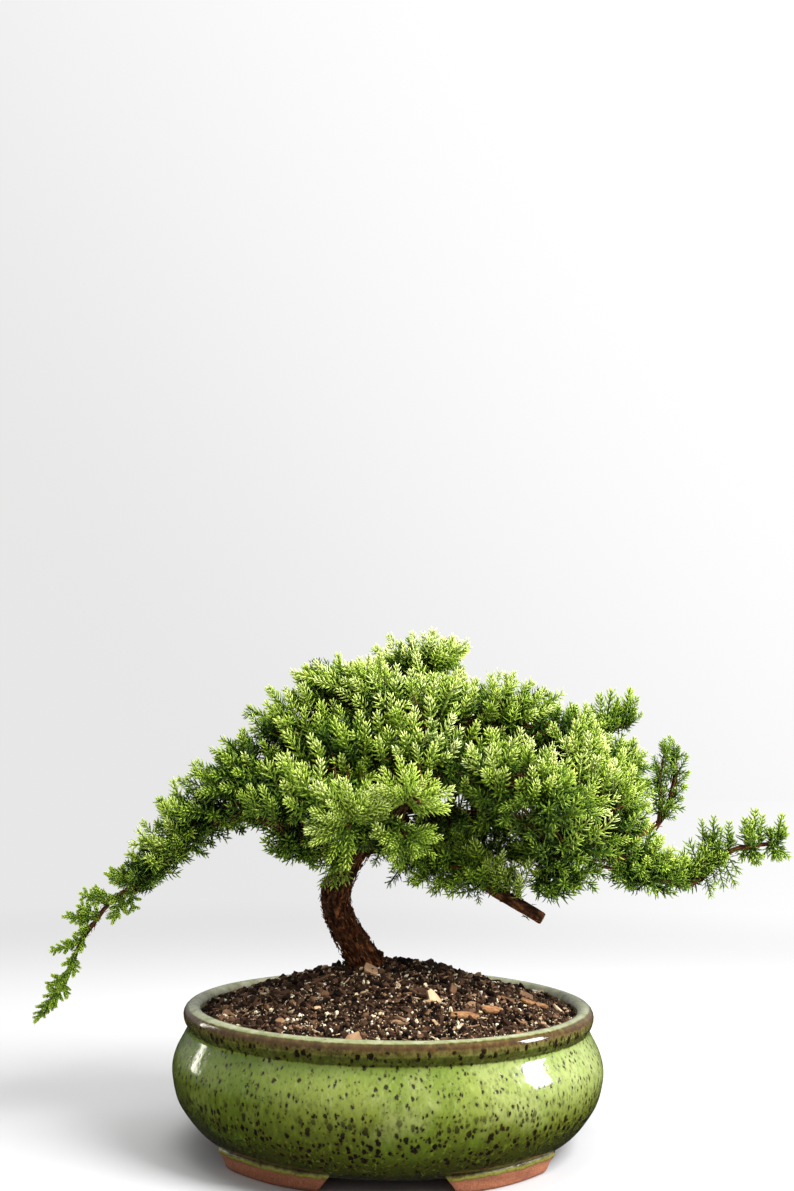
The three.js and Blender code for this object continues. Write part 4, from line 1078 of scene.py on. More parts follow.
    # sticks and fibres
    buf = Buf()
    for _ in range(230):
        x, y, z, r = scatter_positions(rng, 1)
        if r[0] > 108 or not clear(x, y, z)[0]:
            continue
        length, rad = rng.uniform(3, 11), rng.uniform(0.18, 0.5)
        yaw = rng.uniform(0, 2 * math.pi)
        n = 5
        s = np.linspace(-0.5, 0.5, n) * length
        bend = rng.uniform(-0.03, 0.03)
        px = x[0] + s * math.cos(yaw) - bend * s * s * math.sin(yaw)
        py = y[0] + s * math.sin(yaw) + bend * s * s * math.cos(yaw)
        rr = np.hypot(px, py)
        px, py = px * np.minimum(1, 111 / rr), py * np.minimum(1, 111 / rr)
        pz = mound_height(px, py) + rad + 0.5 + rng.uniform(0, 0.10) * np.abs(s)
        v, q, caps = tube_mesh(np.stack([px, py, pz], -1), np.full(n, rad) * np.array([0.7, 1, 1, 0.9, 0.5]), 5)
        tint = rng.uniform(0.2, 0.75)
        mk = lambda f: np.stack([rng.uniform(0.3, 0.9, f.shape), np.clip(tint + rng.uniform(-0.01, 0.01, f.shape), 0.01, 0.99)], -1)
        buf.add(v, [(q, mk(q), 0), (caps, mk(caps), 0)])
    place(buf.make("soil_sticks", [GRAIN], smooth=False), "bark_flake")

    # the three largest flakes, where the CAD chips lie
    for k, (rad, ang, length, width, turn) in enumerate(CHIPS):
        lo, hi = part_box(f"bark_chip_{k + 1}")
        c = (np.array(lo) + np.array(hi)) / 2
        c = (c - AXIS) * 1000
        buf = Buf()
        n = 26
        r2 = np.random.default_rng(500 + k)
        a = np.arange(n) / n * 2 * math.pi
        out = 0.5 * (1 + 0.10 * np.sin(2 * a + k) + 0.07 * np.sin(5 * a + 2 * k) + r2.uniform(-0.05, 0.05, n))
        ring = np.stack([out * np.cos(a) * length, out * np.sin(a) * width], -1)
        layers, heights = [], [(-1.1, 0.80), (-0.9, 0.95), (-0.2, 1.0), (0.5, 0.97), (0.95, 0.88), (1.15, 0.55), (1.22, 0.22)]
        tilt_a = math.radians(turn)
        for hgt, s in heights:
            p = ring * s
            curl = 0.012 * p[:, 0] ** 2 * (1 if k != 1 else -0.5)
            rough = 0.16 * fbm(np.stack([p[:, 0], p[:, 1] * 2.5, np.full(n, hgt + 5 * k)], -1) / 1.6, 2, 40 + k)
            layers.append(np.stack([p[:, 0], p[:, 1], hgt + curl + rough], -1))
        v = np.vstack(layers + [[[0, 0, -1.15]], [[0, 0, 1.24]]])
        m = len(heights)
        i, j = np.meshgrid(np.arange(m - 1), np.arange(n), indexing="ij")
        j2 = (j + 1) % n
        q = np.stack([i * n + j, i * n + j2, (i + 1) * n + j2, (i + 1) * n + j], -1).reshape(-1, 4)
        kk = np.arange(n)
        caps = np.vstack([np.stack([np.full(n, m * n), (kk + 1) % n, kk], -1), np.stack([np.full(n, m * n + 1), (m - 1) * n + kk, (m - 1) * n + (kk + 1) % n], -1)])
        spin = np.array([[math.cos(tilt_a), -math.sin(tilt_a), 0], [math.sin(tilt_a), math.cos(tilt_a), 0], [0, 0, 1]])
        aa = math.radians(ang)
        lay = np.array([[math.cos(0.27), 0, math.sin(0.27)], [0, 1, 0], [-math.sin(0.27), 0, math.cos(0.27)]])
        about = np.array([[math.cos(aa), -math.sin(aa), 0], [math.sin(aa), math.cos(aa), 0], [0, 0, 1]])
        buf.add(v @ (about @ lay @ spin).T + c + np.array([0, 0, 0.2]), [(q, None, 0), (caps, None, 0)])
        place(buf.make(f"bark_flake_large_{k + 1}", [FLAKE], sharp=40), "bark_flake", f"bark_chip_{k + 1}")


# ------------------------------------------------------------------ wood
def tube_mesh(path, radii, sides, phase=0.0):
    """Plain closed tube. Returns vertices, quads and cap triangles."""
    _, u, w = transport(path)
    a = phase + np.arange(sides) / sides * 2 * math.pi
    v = path[:, None] + radii[:, None, None] * (np.cos(a)[None, :, None] * u[:, None] + np.sin(a)[None, :, None] * w[:, None])
    n = len(path)
    i, j = np.meshgrid(np.arange(n - 1), np.arange(sides), indexing="ij")
    j2 = (j + 1) % sides
    q = np.stack([i * sides + j, i * sides + j2, (i + 1) * sides + j2, (i + 1) * sides + j], -1).reshape(-1, 4)
    verts = np.vstack([v.reshape(-1, 3), path[:1], path[-1:]])
    k = np.arange(sides)
    c = n * sides
    caps = np.vstack([np.stack([np.full(sides, c), (k + 1) % sides, k], -1),
                      np.stack([np.full(sides, c + 1), (n - 1) * sides + k, (n - 1) * sides + (k + 1) % sides], -1)])
    return verts, q, caps


def bark_relief(co, radius, seed):
    """How far bark stands out, mm: co is (across, across, along) in mm."""
    thick = np.clip(radius / 10, 0.12, 1.0)
    lumps = 0.13 * radius * fbm(co / np.array([9.0, 9, 10]), 2, seed)
    plates = np.abs(fbm(co / np.array([4.2, 4.2, 7.5]), 2, seed + 21))
    crack = -0.9 * np.clip(1 - plates / 0.10, 0, 1)
    strips = fbm(co / np.array([1.7, 1.7, 8.5]), 3, seed + 3)
    ridged = 1 - np.abs(strips) * 2
    fine = fbm(co / np.array([0.8, 0.8, 2.6]), 2, seed + 5)
    nodes = fbm(co / np.array([4.0, 4.0, 4.0]), 2, seed + 9)
    return lumps - 0.60 * thick + thick * crack + thick * (0.42 * ridged + 0.28 * fine + 0.5 * np.maximum(nodes - 0.15, 0) * 1.6)


def stem_grid(stem, sides, step, seed, ends=(False, False)):
    """One stem as a displaced grid. ends: whether the start or the end is sawn; the start's entry is not used."""
    path = spline(stem, step)
    xyz, rad = path[:, :3], path[:, 3]
    tangent, u, w = transport(xyz)
    arc = np.concatenate([[0], np.cumsum(np.linalg.norm(np.diff(xyz, axis=0), axis=1))])
    a = np.arange(sides) / sides * 2 * math.pi
    ca, sa = np.cos(a)[None, :], np.sin(a)[None, :]
    co = np.stack([rad[:, None] * ca, rad[:, None] * sa, np.broadcast_to(arc[:, None], (len(arc), sides))], -1)
    relief = bark_relief(co.reshape(-1, 3) + seed * 13.7, np.repeat(rad, sides), seed).reshape(len(arc), sides)
    taper = np.ones(len(arc))
    if ends[1]:
        taper[-1], taper[-2] = 0.86, 0.97
    else:
        m = min(4, len(arc) - 1)
        for k in range(m):
            taper[-1 - k] = (0.35, 0.72, 0.9, 0.97)[k]
    rr = (rad[:, None] + relief) * taper[:, None]
    v = xyz[:, None] + rr[..., None] * (ca[..., None] * u[:, None] + sa[..., None] * w[:, None])
    return v, co, arc, xyz, rad, tangent


def wood_piece(name, stems, node, sides_for, seed0, sawn=()):
    buf = Buf()
    count = len(stems)
    for k, (key, stem) in enumerate(stems.items()):
        sides = sides_for(max(p[3] for p in stem))
        v, co, arc, xyz, rad, tangent = stem_grid(stem, sides, 0.9, seed0 + 7 * k, (False, key in sawn))
        n = len(arc)
        i, j = np.meshgrid(np.arange(n - 1), np.arange(sides), indexing="ij")
        j2 = (j + 1) % sides
        q = np.stack([i * sides + j, i * sides + j2, (i + 1) * sides + j2, (i + 1) * sides + j], -1).reshape(-1, 4)
        strip = 0.985 / count
        v0 = k / count + 0.004
        uu0, uu1 = j / sides * 0.99, (j + 1) / sides * 0.99
        va, vb = v0 + strip * arc[i] / arc[-1], v0 + strip * arc[i + 1] / arc[-1]
        uv = np.stack([np.stack([uu0, va], -1), np.stack([uu1, va], -1), np.stack([uu1, vb], -1), np.stack([uu0, vb], -1)], -2).reshape(-1, 4, 2)
        verts = v.reshape(-1, 3)
        attr = co.reshape(-1, 3)
        c0, c1 = xyz[0], xyz[-1]
        verts = np.vstack([verts, [c0], [c1 + tangent[-1] * 0.25]])
        attr = np.vstack([attr, [[0, 0, arc[0]]], [[0, 0, arc[-1]]]])
        kk = np.arange(sides)
        base = n * sides
        cap0 = np.stack([np.full(sides, base), (kk + 1) % sides, kk], -1)
        cap1 = np.stack([np.full(sides, base + 1), (n - 1) * sides + kk, (n - 1) * sides + (kk + 1) % sides], -1)

        def cap_uv(cy):
            ang = kk / sides * 2 * math.pi
            ang2 = (kk + 1) / sides * 2 * math.pi
            r = 0.0035
            m = np.stack([np.full(sides, 0.995), np.full(sides, cy)], -1)
            return np.stack([m, m + r * np.stack([np.cos(ang2), np.sin(ang2)], -1), m + r * np.stack([np.cos(ang), np.sin(ang)], -1)], -2)
        buf.add(verts, [(q, uv, 0), (cap0, cap_uv(v0 + 0.02), 0), (cap1, cap_uv(v0 + 0.05), 1 if key in sawn else 0)], attr)
        flakes_on(buf, xyz, rad, tangent, np.random.default_rng(seed0 + 100 + k), v0, strip)
    obj = buf.make(name, [BARK, CUT], attribute="stemco")
    place(obj, "bark", node)
    return obj


def flakes_on(buf, xyz, rad, tangent, rng, v0, strip, density=0.10, thick=1.0):
    """Small lifted strips of bark along a stem."""
    arc = np.concatenate([[0], np.cumsum(np.linalg.norm(np.diff(xyz, axis=0), axis=1))])
    _, u, w = transport(xyz)
    area = np.trapezoid(rad * 2 * math.pi, arc) if hasattr(np, "trapezoid") else np.trapz(rad * 2 * math.pi, arc)
    for _ in range(int(area * density / 3)):
        s = rng.uniform(0.03, 0.97) * arc[-1]
        k = int(np.clip(np.searchsorted(arc, s), 1, len(arc) - 2))
        r = rad[k]
        if r < 1.3:
            continue
        a = rng.uniform(0, 2 * math.pi)
        length, width = rng.uniform(1.6, 5.2) * min(1, r / 5 + 0.35), rng.uniform(0.5, 1.5) * min(1, r / 5 + 0.35)
        out = math.cos(a) * u[k] + math.sin(a) * w[k]
        along = tangent[k] * (1 if rng.uniform() < 0.5 else -1)
        side = np.cross(along, out)
        steps = 4
        t = np.linspace(0, 1, steps)
        lift = 0.25 + rng.uniform(0.3, 1.3) * t ** 2
        wid = width * np.array([0.8, 1.0, 0.85, 0.35]) * 0.5
        mid = xyz[k] + out * (r + lift)[:, None] + along * (t * length)[:, None] + side * rng.uniform(-0.3, 0.3) * (t ** 2)[:, None]
        th = 0.16
        rows = []
        for m in range(steps):
            rows += [mid[m] - side * wid[m] + out * th, mid[m] + side * wid[m] + out * th, mid[m] + side * wid[m] - out * th, mid[m] - side * wid[m] - out * th]
        v = np.array(rows)
        q = []
        for m in range(steps - 1):
            b = 4 * m
            q += [(b + e, b + (e + 1) % 4, b + 4 + (e + 1) % 4, b + 4 + e) for e in range(4)]
        q += [(3, 2, 1, 0), (4 * steps - 4, 4 * steps - 3, 4 * steps - 2, 4 * steps - 1)]
        q = np.array(q)
        uvv = v0 + strip * arc[k] / arc[-1]
        base = np.array([0.2 + 0.6 * rng.uniform(), np.clip(uvv, 0.01, 0.99)])
        uv = np.clip(base + np.stack([(q % 4) * 0.0015, (q // 4) * 0.0015], -1), 0.001, 0.999)
        co = np.stack([np.full(len(v), r * math.cos(a)) + rng.uniform(-9, 9), np.full(len(v), r * math.sin(a)), arc[k] + np.repeat(t, 4) * length], -1)
        co[:, 0] += (np.arange(len(v)) % 4) * 0.3
        buf.add(v, [(q, uv, 0)], co)


def stems_samples(stems, step=0.8):
    out = []
    for stem in stems.values():
        path = spline(stem, step)
        tangent, u, w = transport(path[:, :3])
        arc = np.concatenate([[0], np.cumsum(np.linalg.norm(np.diff(path[:, :3], axis=0), axis=1))])
        out.append(np.hstack([path, tangent, u, w, arc[:, None]]))
    return out


def make_trunk():
    """The bole, its leader and its root flare, fused by remeshing, then given bark relief."""
    buf = Buf()
    for stem in TRUNK.values():
        path = spline(stem, 1.5)
        v, q, caps = tube_mesh(path[:, :3], path[:, 3] - 0.15, 40)
        buf.add(v, [(q, None, 0), (caps, None, 0)])
    # pruning knob: a short stub on the left of the bend
    knob = spline([(-33, -9, 144, 7.2), (-36, -10, 149, 6.4), (-37.6, -10.8, 152.4, 5.2)], 1.0)
    v, q, caps = tube_mesh(knob[:, :3], knob[:, 3], 32)
    buf.add(v, [(q, None, 0), (caps, None, 0)])
    for c, r in (((-23.6, -9, 134.5), 1.9), ((-17.8, -9, 123.5), 2.0), ((-13.6, -8, 117.5), 2.3), ((-9.6, -7, 112.5), 2.9), ((-6.0, -6, 108.5), 3.2), ((-39.0, -9, 127), 1.7),
                 ((-32.6, -9, 116), 1.8), ((-29, -15.5, 141), 2.4), ((-36, -15, 135), 2.2), ((-24, -15, 126), 2.0), ((-28.5, -8, 107), 2.6), ((-41.0, -9, 147.5), 2.4)):
        shapes, f = chunk_templates(np.random.default_rng(int(abs(c[0]) * 10)), 1, True)
        buf.add(shapes[0] * r + np.array(c), [(f, None, 0)])
    raw = buf.make("trunk_raw", [BARK])
    mod = raw.modifiers.new("remesh", "REMESH")
    mod.mode, mod.voxel_size = "VOXEL", 0.00062
    smooth = raw.modifiers.new("smooth", "SMOOTH")
    smooth.factor, smooth.iterations = 0.5, 8
    dg = bpy.context.evaluated_depsgraph_get()
    mesh = bpy.data.meshes.new_from_object(raw.evaluated_get(dg))
    bpy.data.objects.remove(raw)
    n = len(mesh.vertices)
    co = np.zeros(n * 3, np.float32)
    mesh.vertices.foreach_get("co", co)
    no = np.zeros(n * 3, np.float32)
    mesh.vertices.foreach_get("normal", no)
    p = (co.reshape(-1, 3).astype(float) - AXIS) * 1000
    normal = no.reshape(-1, 3).astype(float)
    samples = np.vstack(stems_samples(TRUNK))
    best = np.full(n, 1e9)
    pick = np.zeros(n, int)
    for k0 in range(0, len(samples), 200):
        block = samples[k0:k0 + 200]
        d = np.linalg.norm(p[:, None] - block[None, :, :3], axis=2) - block[None, :, 3]
        k = d.argmin(1)
        m = d[np.arange(n), k]
        better = m < best
        best[better], pick[better] = m[better], k[better] + k0
    s = samples[pick]
    off = p - s[:, :3]
    cu, cw = np.einsum("ij,ij->i", off, s[:, 7:10]), np.einsum("ij,ij->i", off, s[:, 10:13])
    stemco = np.stack([cu, cw, s[:, 13]], -1)
    radius = s[:, 3]
    relief = bark_relief(stemco + 3.0, radius, 11) * np.clip((p[:, 2] - 60) / 10, 0, 1)
    p = p + normal * relief[:, None] * 1.2
    mesh.vertices.foreach_set("co", (p * 0.001 + AXIS).astype(np.float32).ravel())
    a = mesh.attributes.new("stemco", "FLOAT_VECTOR", "POINT")
    a.data.foreach_set("vector", stemco.astype(np.float32).ravel())
    mesh.polygons.foreach_set("use_smooth", np.ones(len(mesh.polygons), bool))
    mesh.materials.clear()
    mesh.materials.append(BARK)
    mesh.update()
    mesh.name = "trunk_bark"
    obj = bpy.data.objects.new("trunk_bark", mesh)
    SCENE.collection.objects.link(obj)
    place(obj, "bark", "trunk")
    # loose bark strips, and the pale face of the old cut
    buf = Buf()
    for k, key in enumerate(("bole", "leader")):
        path = spline(TRUNK[key], 0.9)
        xyz, rad = path[:, :3], path[:, 3]
        above = xyz[:, 2] > (96 if key == "bole" else 150)
        flakes_on(buf, xyz[above], rad[above], transport(xyz)[0][above], np.random.default_rng(900 + k), 0.1 + 0.4 * k, 0.35, 0.42)
    place(buf.make("trunk_bark_strips", [BARK], smooth=True, attribute="stemco"), "bark")
    c, d = np.array([-37.8, -11.0, 152.6]), unit(np.array([-0.42, -0.30, 0.86]))
    u = unit(np.cross(d, [0, 0, 1]))
    w = np.cross(u, d)
    rings, n = [(0.0, 0.62), (0.5, 0.60), (0.8, 0.5), (0.95, 0.3), (1.02, 0.05)], 22
    a = np.arange(n) / n * 2 * math.pi
    rows = []
    for rr, hh in ((4.3, -1.2), (4.2, 0.2), (3.7, 0.55), (2.6, 0.62), (1.3, 0.5)):
        wob = 1 + 0.08 * np.sin(3 * a + 1) + 0.05 * np.sin(7 * a)
        rows.append(c + rr * wob[:, None] * (np.cos(a)[:, None] * u + np.sin(a)[:, None] * w) + d * (hh + 0.15 * np.sin(4 * a + rr)[:, None]))
    v = np.vstack(rows + [[c + d * 0.4], [c - d * 1.2]])
    m = len(rows)
    i, j = np.meshgrid(np.arange(m - 1), np.arange(n), indexing="ij")
    j2 = (j + 1) % n
    q = np.stack([i * n + j, i * n + j2, (i + 1) * n + j2, (i + 1) * n + j], -1).reshape(-1, 4)
    kk = np.arange(n)
    caps = np.vstack([np.stack([np.full(n, m * n), (m - 1) * n + kk, (m - 1) * n + (kk + 1) % n], -1), np.stack([np.full(n, m * n + 1), (kk + 1) % n, kk], -1)])
    buf = Buf()
    buf.add(v, [(q, None, 0), (caps, None, 0)])
    place(buf.make("trunk_cut_face", [CUT]), "bark")


def make_branches():
    sides_for = lambda r: int(np.clip(round(2 * math.pi * r / 0.75), 14, 44))
    for k, (name, stems) in enumerate(BRANCHES.items()):
        wood_piece(name + "_bark", stems, name, sides_for, 200 + 31 * k, sawn=("main",) if name in ("branch_low_right", "branch_right_stub") else ())


# ------------------------------------------------------------------ foliage
def needle(length, a0, a1, width, thick, rings):
    """One awl-shaped needle in its own plane: x away from the shoot's axis, z along it, y across. Closed."""
    s = np.array([0, 0.42, 0.78, 1.0]) if rings == 3 else np.array([0, 0.5, 1.0])
    k = np.array([0.55, 1.0, 0.66]) if rings == 3 else np.array([0.6, 0.9])
    fine = np.linspace(0, 1, 13)
    ang = a0 + (a1 - a0) * fine
    px = np.concatenate([[0], np.cumsum((np.sin(ang[1:]) + np.sin(ang[:-1])) / 2)]) / 12 * length
    pz = np.concatenate([[0], np.cumsum((np.cos(ang[1:]) + np.cos(ang[:-1])) / 2)]) / 12 * length
    x, z, a = np.interp(s, fine, px), np.interp(s, fine, pz), np.interp(s, fine, ang)
    verts = []
    for i in range(rings):
        c = np.array([x[i], 0, z[i]])
        inward = np.array([-math.cos(a[i]), 0, math.sin(a[i])])
        verts += [c + np.array([0, width / 2 * k[i], 0]) + inward * thick * 0.3 * k[i],
                  c - np.array([0, width / 2 * k[i], 0]) + inward * thick * 0.3 * k[i],
                  c - inward * thick * 0.7 * k[i]]
    verts.append(np.array([x[-1], 0, z[-1]]))
    u = np.concatenate([np.repeat(s[:rings], 3), [1.0]])
    return np.array(verts), u


def needle_faces(rings):
    quads, tris = [], [(0, 1, 2)]
    for r in range(rings - 1):
        for e in range(3):
            a, b = 3 * r + e, 3 * r + (e + 1) % 3
            quads.append((a, a + 3, b + 3, b))
    t = 3 * rings
    for e in range(3):
        tris.append((3 * (rings - 1) + e, t, 3 * (rings - 1) + (e + 1) % 3))
    return np.array(quads), np.array(tris)


NEEDLE_FACES = {2: needle_faces(2), 3: needle_faces(3)}

KINDS = {   # length range, whorl spacing base/tip, needle length base/mid/tip, start angle base/tip, end angle base/tip, width, thick, rings
    "plump": dict(length=(16, 21), gap=(2.05, 1.25), needle=(5.3, 5.8, 3.1), a0=(76, 48), a1=(48, 16), width=1.18, thick=0.64, rings=3),
    "leader": dict(length=(22, 27), gap=(2.1, 1.3), needle=(5.4, 5.9, 3.1), a0=(76, 48), a1=(49, 16), width=1.18, thick=0.64, rings=3),
    "open": dict(length=(16, 21), gap=(2.7, 1.7), needle=(6.8, 7.3, 4.2), a0=(84, 52), a1=(62, 22), width=1.06, thick=0.58, rings=3),
    "cone": dict(length=(15, 18), gap=(2.2, 1.3), needle=(6.0, 4.8, 2.4), a0=(84, 50), a1=(62, 18), width=1.06, thick=0.6, rings=3),
    "scale": dict(length=(6.5, 9.0), gap=(0.95, 0.75), needle=(2.0, 2.3, 1.5), a0=(54, 40), a1=(26, 4), width=1.2, thick=0.75, rings=2),
    "mini": dict(length=(8.0, 11), gap=(2.0, 1.25), needle=(4.1, 4.5, 2.7), a0=(74, 48), a1=(40, 10), width=1.1, thick=0.6, rings=3),
    "inner": dict(length=(17, 22), gap=(3.2, 2.2), needle=(6.2, 6.8, 4.4), a0=(80, 46), a1=(54, 14), width=1.1, thick=0.6, rings=2),
}


def shoot_parts(kind, rng, length=None):
    """Needle list of one shoot along +Z that bends a little towards +X: vertices, quads, tris, u, dv, all as arrays."""
    k = KINDS[kind]
    if length is None:
        length = rng.uniform(*k["length"])
    bend = rng.uniform(0.004, 0.020)
    verts, quads, tris, us, dvs = [], [], [], [], []
    n = 0
    fq, ft = NEEDLE_FACES[k["rings"]]
    h, turn, first = 0.6, rng.uniform(0, 2), True
    reach = length - k["needle"][2] * 0.75
    while h < reach:
        t = h / reach
        base_gap = k["gap"][0] + (k["gap"][1] - k["gap"][0]) * t
        nl = np.interp(t, [0, 0.45, 1], k["needle"])
        a0 = math.radians(k["a0"][0] + (k["a0"][1] - k["a0"][0]) * t ** 1.2)
        a1 = math.radians(k["a1"][0] + (k["a1"][1] - k["a1"][0]) * t)
        for e in range(3):
            jl, ja = rng.uniform(0.9, 1.08), math.radians(rng.normal(0, 3.5))
            v, u = needle(nl * jl, a0 + ja, a1 + ja, k["width"] * rng.uniform(0.88, 1.08) * (1 - 0.18 * t), k["thick"], k["rings"])
            phi = turn + e * 2 * math.pi / 3 + rng.normal(0, 0.08)
            c, s = math.cos(phi), math.sin(phi)
            x, y, z = v[:, 0] + 0.35, v[:, 1], v[:, 2]
            v = np.stack([x * c - y * s, x * s + y * c, z + h + rng.normal(0, 0.10)], -1)
            verts.append(v)
            quads.append(fq + n)
            tris.append(ft + n)
            us.append(u)
            # each shoot darker at its base and paler at its tip: partly painted shade inside the shoot, partly paler
            # new growth at the tip
            dv = -0.20 + 0.38 * t ** 1.1 + rng.normal(0, 0.05)
            # the outer edge of each needle lighter than its flanks: partly the needle's pale midline, partly a painted
            # highlight
            side = np.concatenate([np.tile([-0.085, -0.075, 0.115], k["rings"]), [0.03]])
            dvs.append(dv + side)
            n += len(v)
        h += base_gap * rng.uniform(0.9, 1.1)
        turn += math.pi / 3 + rng.normal(0, 0.06)
    # stem
    m, sides = 5, 5
    zz = np.linspace(-1.5, length - 2.2, m)
    rr = np.linspace(0.62, 0.35, m)
    a = np.arange(sides) / sides * 2 * math.pi
    v = np.stack([rr[:, None] * np.cos(a), rr[:, None] * np.sin(a), np.broadcast_to(zz[:, None], (m, sides))], -1).reshape(-1, 3)
    i, j = np.meshgrid(np.arange(m - 1), np.arange(sides), indexing="ij")
    j2 = (j + 1) % sides
    q = np.stack([i * sides + j, i * sides + j2, (i + 1) * sides + j2, (i + 1) * sides + j], -1).reshape(-1, 4)
    v = np.vstack([v, [[0, 0, zz[0]]], [[0, 0, zz[-1] + 0.3]]])
    kk = np.arange(sides)
    cap = np.vstack([np.stack([np.full(sides, m * sides), (kk + 1) % sides, kk], -1),
                     np.stack([np.full(sides, m * sides + 1), (m - 1) * sides + kk, (m - 1) * sides + (kk + 1) % sides], -1)])
    verts.append(v)
    quads.append(q + n)
    tris.append(cap + n)
    us.append(np.full(len(v), 0.12) + np.concatenate([np.repeat(np.linspace(0, 0.03, m), sides), [0, 0.03]]))
    dvs.append(np.full(len(v), 0.05) + np.concatenate([np.tile(np.linspace(-0.004, 0.004, sides), m), [0, 0]]))
    verts = np.vstack(verts)
    verts[:, 0] += bend * np.maximum(verts[:, 2], 0) ** 2 * 0.5
    return verts, np.vstack(quads), np.vstack(tris), np.concatenate(us), np.concatenate(dvs), length


def feather_parts(rng, main="leader", twigs=(3, 6), spread=(32, 48)):
    """A leading shoot with short side shoots, as one template."""
    verts, quads, tris, us, dvs, length = shoot_parts(main, rng)
    V, Q, T, U, D = [verts], [quads], [tris], [us], [dvs]
    n = len(verts)
    count = int(rng.integers(*twigs))
    phi = rng.uniform(0, 6.28)
    for c in range(count):
        h = 1.5 + (length * 0.58) * c / max(1, count - 1) * rng.uniform(0.9, 1.1)
        v, q, t, u, d, _ = shoot_parts("mini", rng, rng.uniform(9.0, 13) * (1 - 0.3 * c / count))
        tilt = math.radians(rng.uniform(*spread))
        ct, st = math.cos(tilt), math.sin(tilt)
        x, y, z = v[:, 0], v[:, 1], v[:, 2]
        x, z = x * ct * -1 + z * st, x * st + z * ct      # bends back towards the leading shoot
        y = -y
        cp, sp = math.cos(phi), math.sin(phi)
        v = np.stack([x * cp - y * sp, x * sp + y * cp, z + h], -1)
        V.append(v)
        Q.append(q + n)
        T.append(t + n)
        U.append(u)
        D.append(d - 0.02)
        n += len(v)
        phi += 2.4 + rng.normal(0, 0.25)
    return np.vstack(V), np.vstack(Q), np.vstack(T), np.concatenate(U), np.concatenate(D), length


def make_templates():
    rng = np.random.default_rng(4242)
    out = {k: [shoot_parts(k, rng) for _ in range(7)] for k in ("plump", "open", "cone", "scale", "mini", "inner", "leader")}
    out["feather"] = [feather_parts(rng) for _ in range(8)]
    out["wisp"] = [feather_parts(rng, "open", (2, 4), (40, 55)) for _ in range(6)]
    return out


def pad_turn(tilt):
    a = -math.radians(tilt)
    return np.array([[math.cos(a), 0, math.sin(a)], [0, 1, 0], [-math.sin(a), 0, math.cos(a)]])


PAD_C = np.array([p[1] for p in PADS], float)
PAD_H = np.array([p[2] for p in PADS], float)
PAD_M = np.array([pad_turn(p[3]) for p in PADS])


def pad_depth(points, skip=-1):
    """Least normalised distance of points to any pad's centre, 1 on its surface, and that pad."""
    best, which = np.full(len(points), 9.0), np.zeros(len(points), int)
    for i in range(len(PADS)):
        if i == skip:
            continue
        q = np.linalg.norm((points - PAD_C[i]) @ PAD_M[i] / PAD_H[i], axis=1)
        b = q < best
        best[b], which[b] = q[b], i
    return best, which


def sphere_points(n):
    k = np.arange(n) + 0.5
    z = 1 - 2 * k / n
    a = math.pi * (1 + 5 ** 0.5) * k
    r = np.sqrt(1 - z * z)
    return np.stack([r * np.cos(a), r * np.sin(a), z], -1)


def thin_out(points, spacing, rng, order=None):
    """Greedy Poisson thinning: indices of the points kept, each at least its spacing from those kept before."""
    spacing = np.broadcast_to(spacing, (len(points),))
    cell = float(spacing.max())
    grid, kept = {}, []
    order = rng.permutation(len(points)) if order is None else order
    keys = np.floor(points / cell).astype(int)
    for i in order:
        k = tuple(keys[i])
        ok, p, s2 = True, points[i], spacing[i] ** 2
        for a in (-1, 0, 1):
            for b in (-1, 0, 1):
                for c in (-1, 0, 1):
                    for j in grid.get((k[0] + a, k[1] + b, k[2] + c), ()):
                        d = p - points[j]
                        if d @ d < s2:
                            ok = False
                            break
                    if not ok:
                        break
                if not ok:
                    break
            if not ok:
                break
        if ok:
            grid.setdefault(k, []).append(i)
            kept.append(i)
    return np.array(kept, int)


def canopy_field(points, soft=4.5):
    """Smooth union of the canopy's pads: 1 on the joint surface, less inside. Also its gradient and the nearest pad."""
    q, g = [], []
    for i in CANOPY:
        local = (points - PAD_C[i]) @ PAD_M[i]
        qi = np.maximum(np.linalg.norm(local / PAD_H[i], axis=1), 1e-4)
        q.append(qi)
        g.append((local / PAD_H[i] ** 2 / qi[:, None]) @ PAD_M[i].T)
    q, g = np.array(q), np.array(g)
    low = q.min(0)
    w = np.exp(-soft * (q - low))
    total = w.sum(0)
    w = w / total
    return low - np.log(total) / soft, np.einsum("kn,knj->nj", w, g), np.array(CANOPY)[q.argmin(0)]


def canopy_surface(level, per_pad, rng, skip=()):
    """Points, normals and pads where the smooth union's field has a given level."""
    start = []
    for i in CANOPY:
        if PADS[i][0] in skip:
            continue
        d = unit(sphere_points(per_pad) + rng.normal(0, 0.02, (per_pad, 3)))
        start.append((d * PAD_H[i] * level) @ PAD_M[i].T + PAD_C[i])
    p = np.vstack(start)
    f, g, w = canopy_field(p)
    keep = f > level - 0.24
    p = p[keep]
    for _ in range(4):
        f, g, w = canopy_field(p)
        step = (level - f) / np.maximum((g * g).sum(1), 1e-6)
        p = p + g * np.clip(step, -260, 260)[:, None]
    f, g, w = canopy_field(p)
    keep = (np.abs(f - level) < 0.02) & ~np.isin(w, [PAD_INDEX[k] for k in skip])
    return p[keep], unit(g[keep]), w[keep]


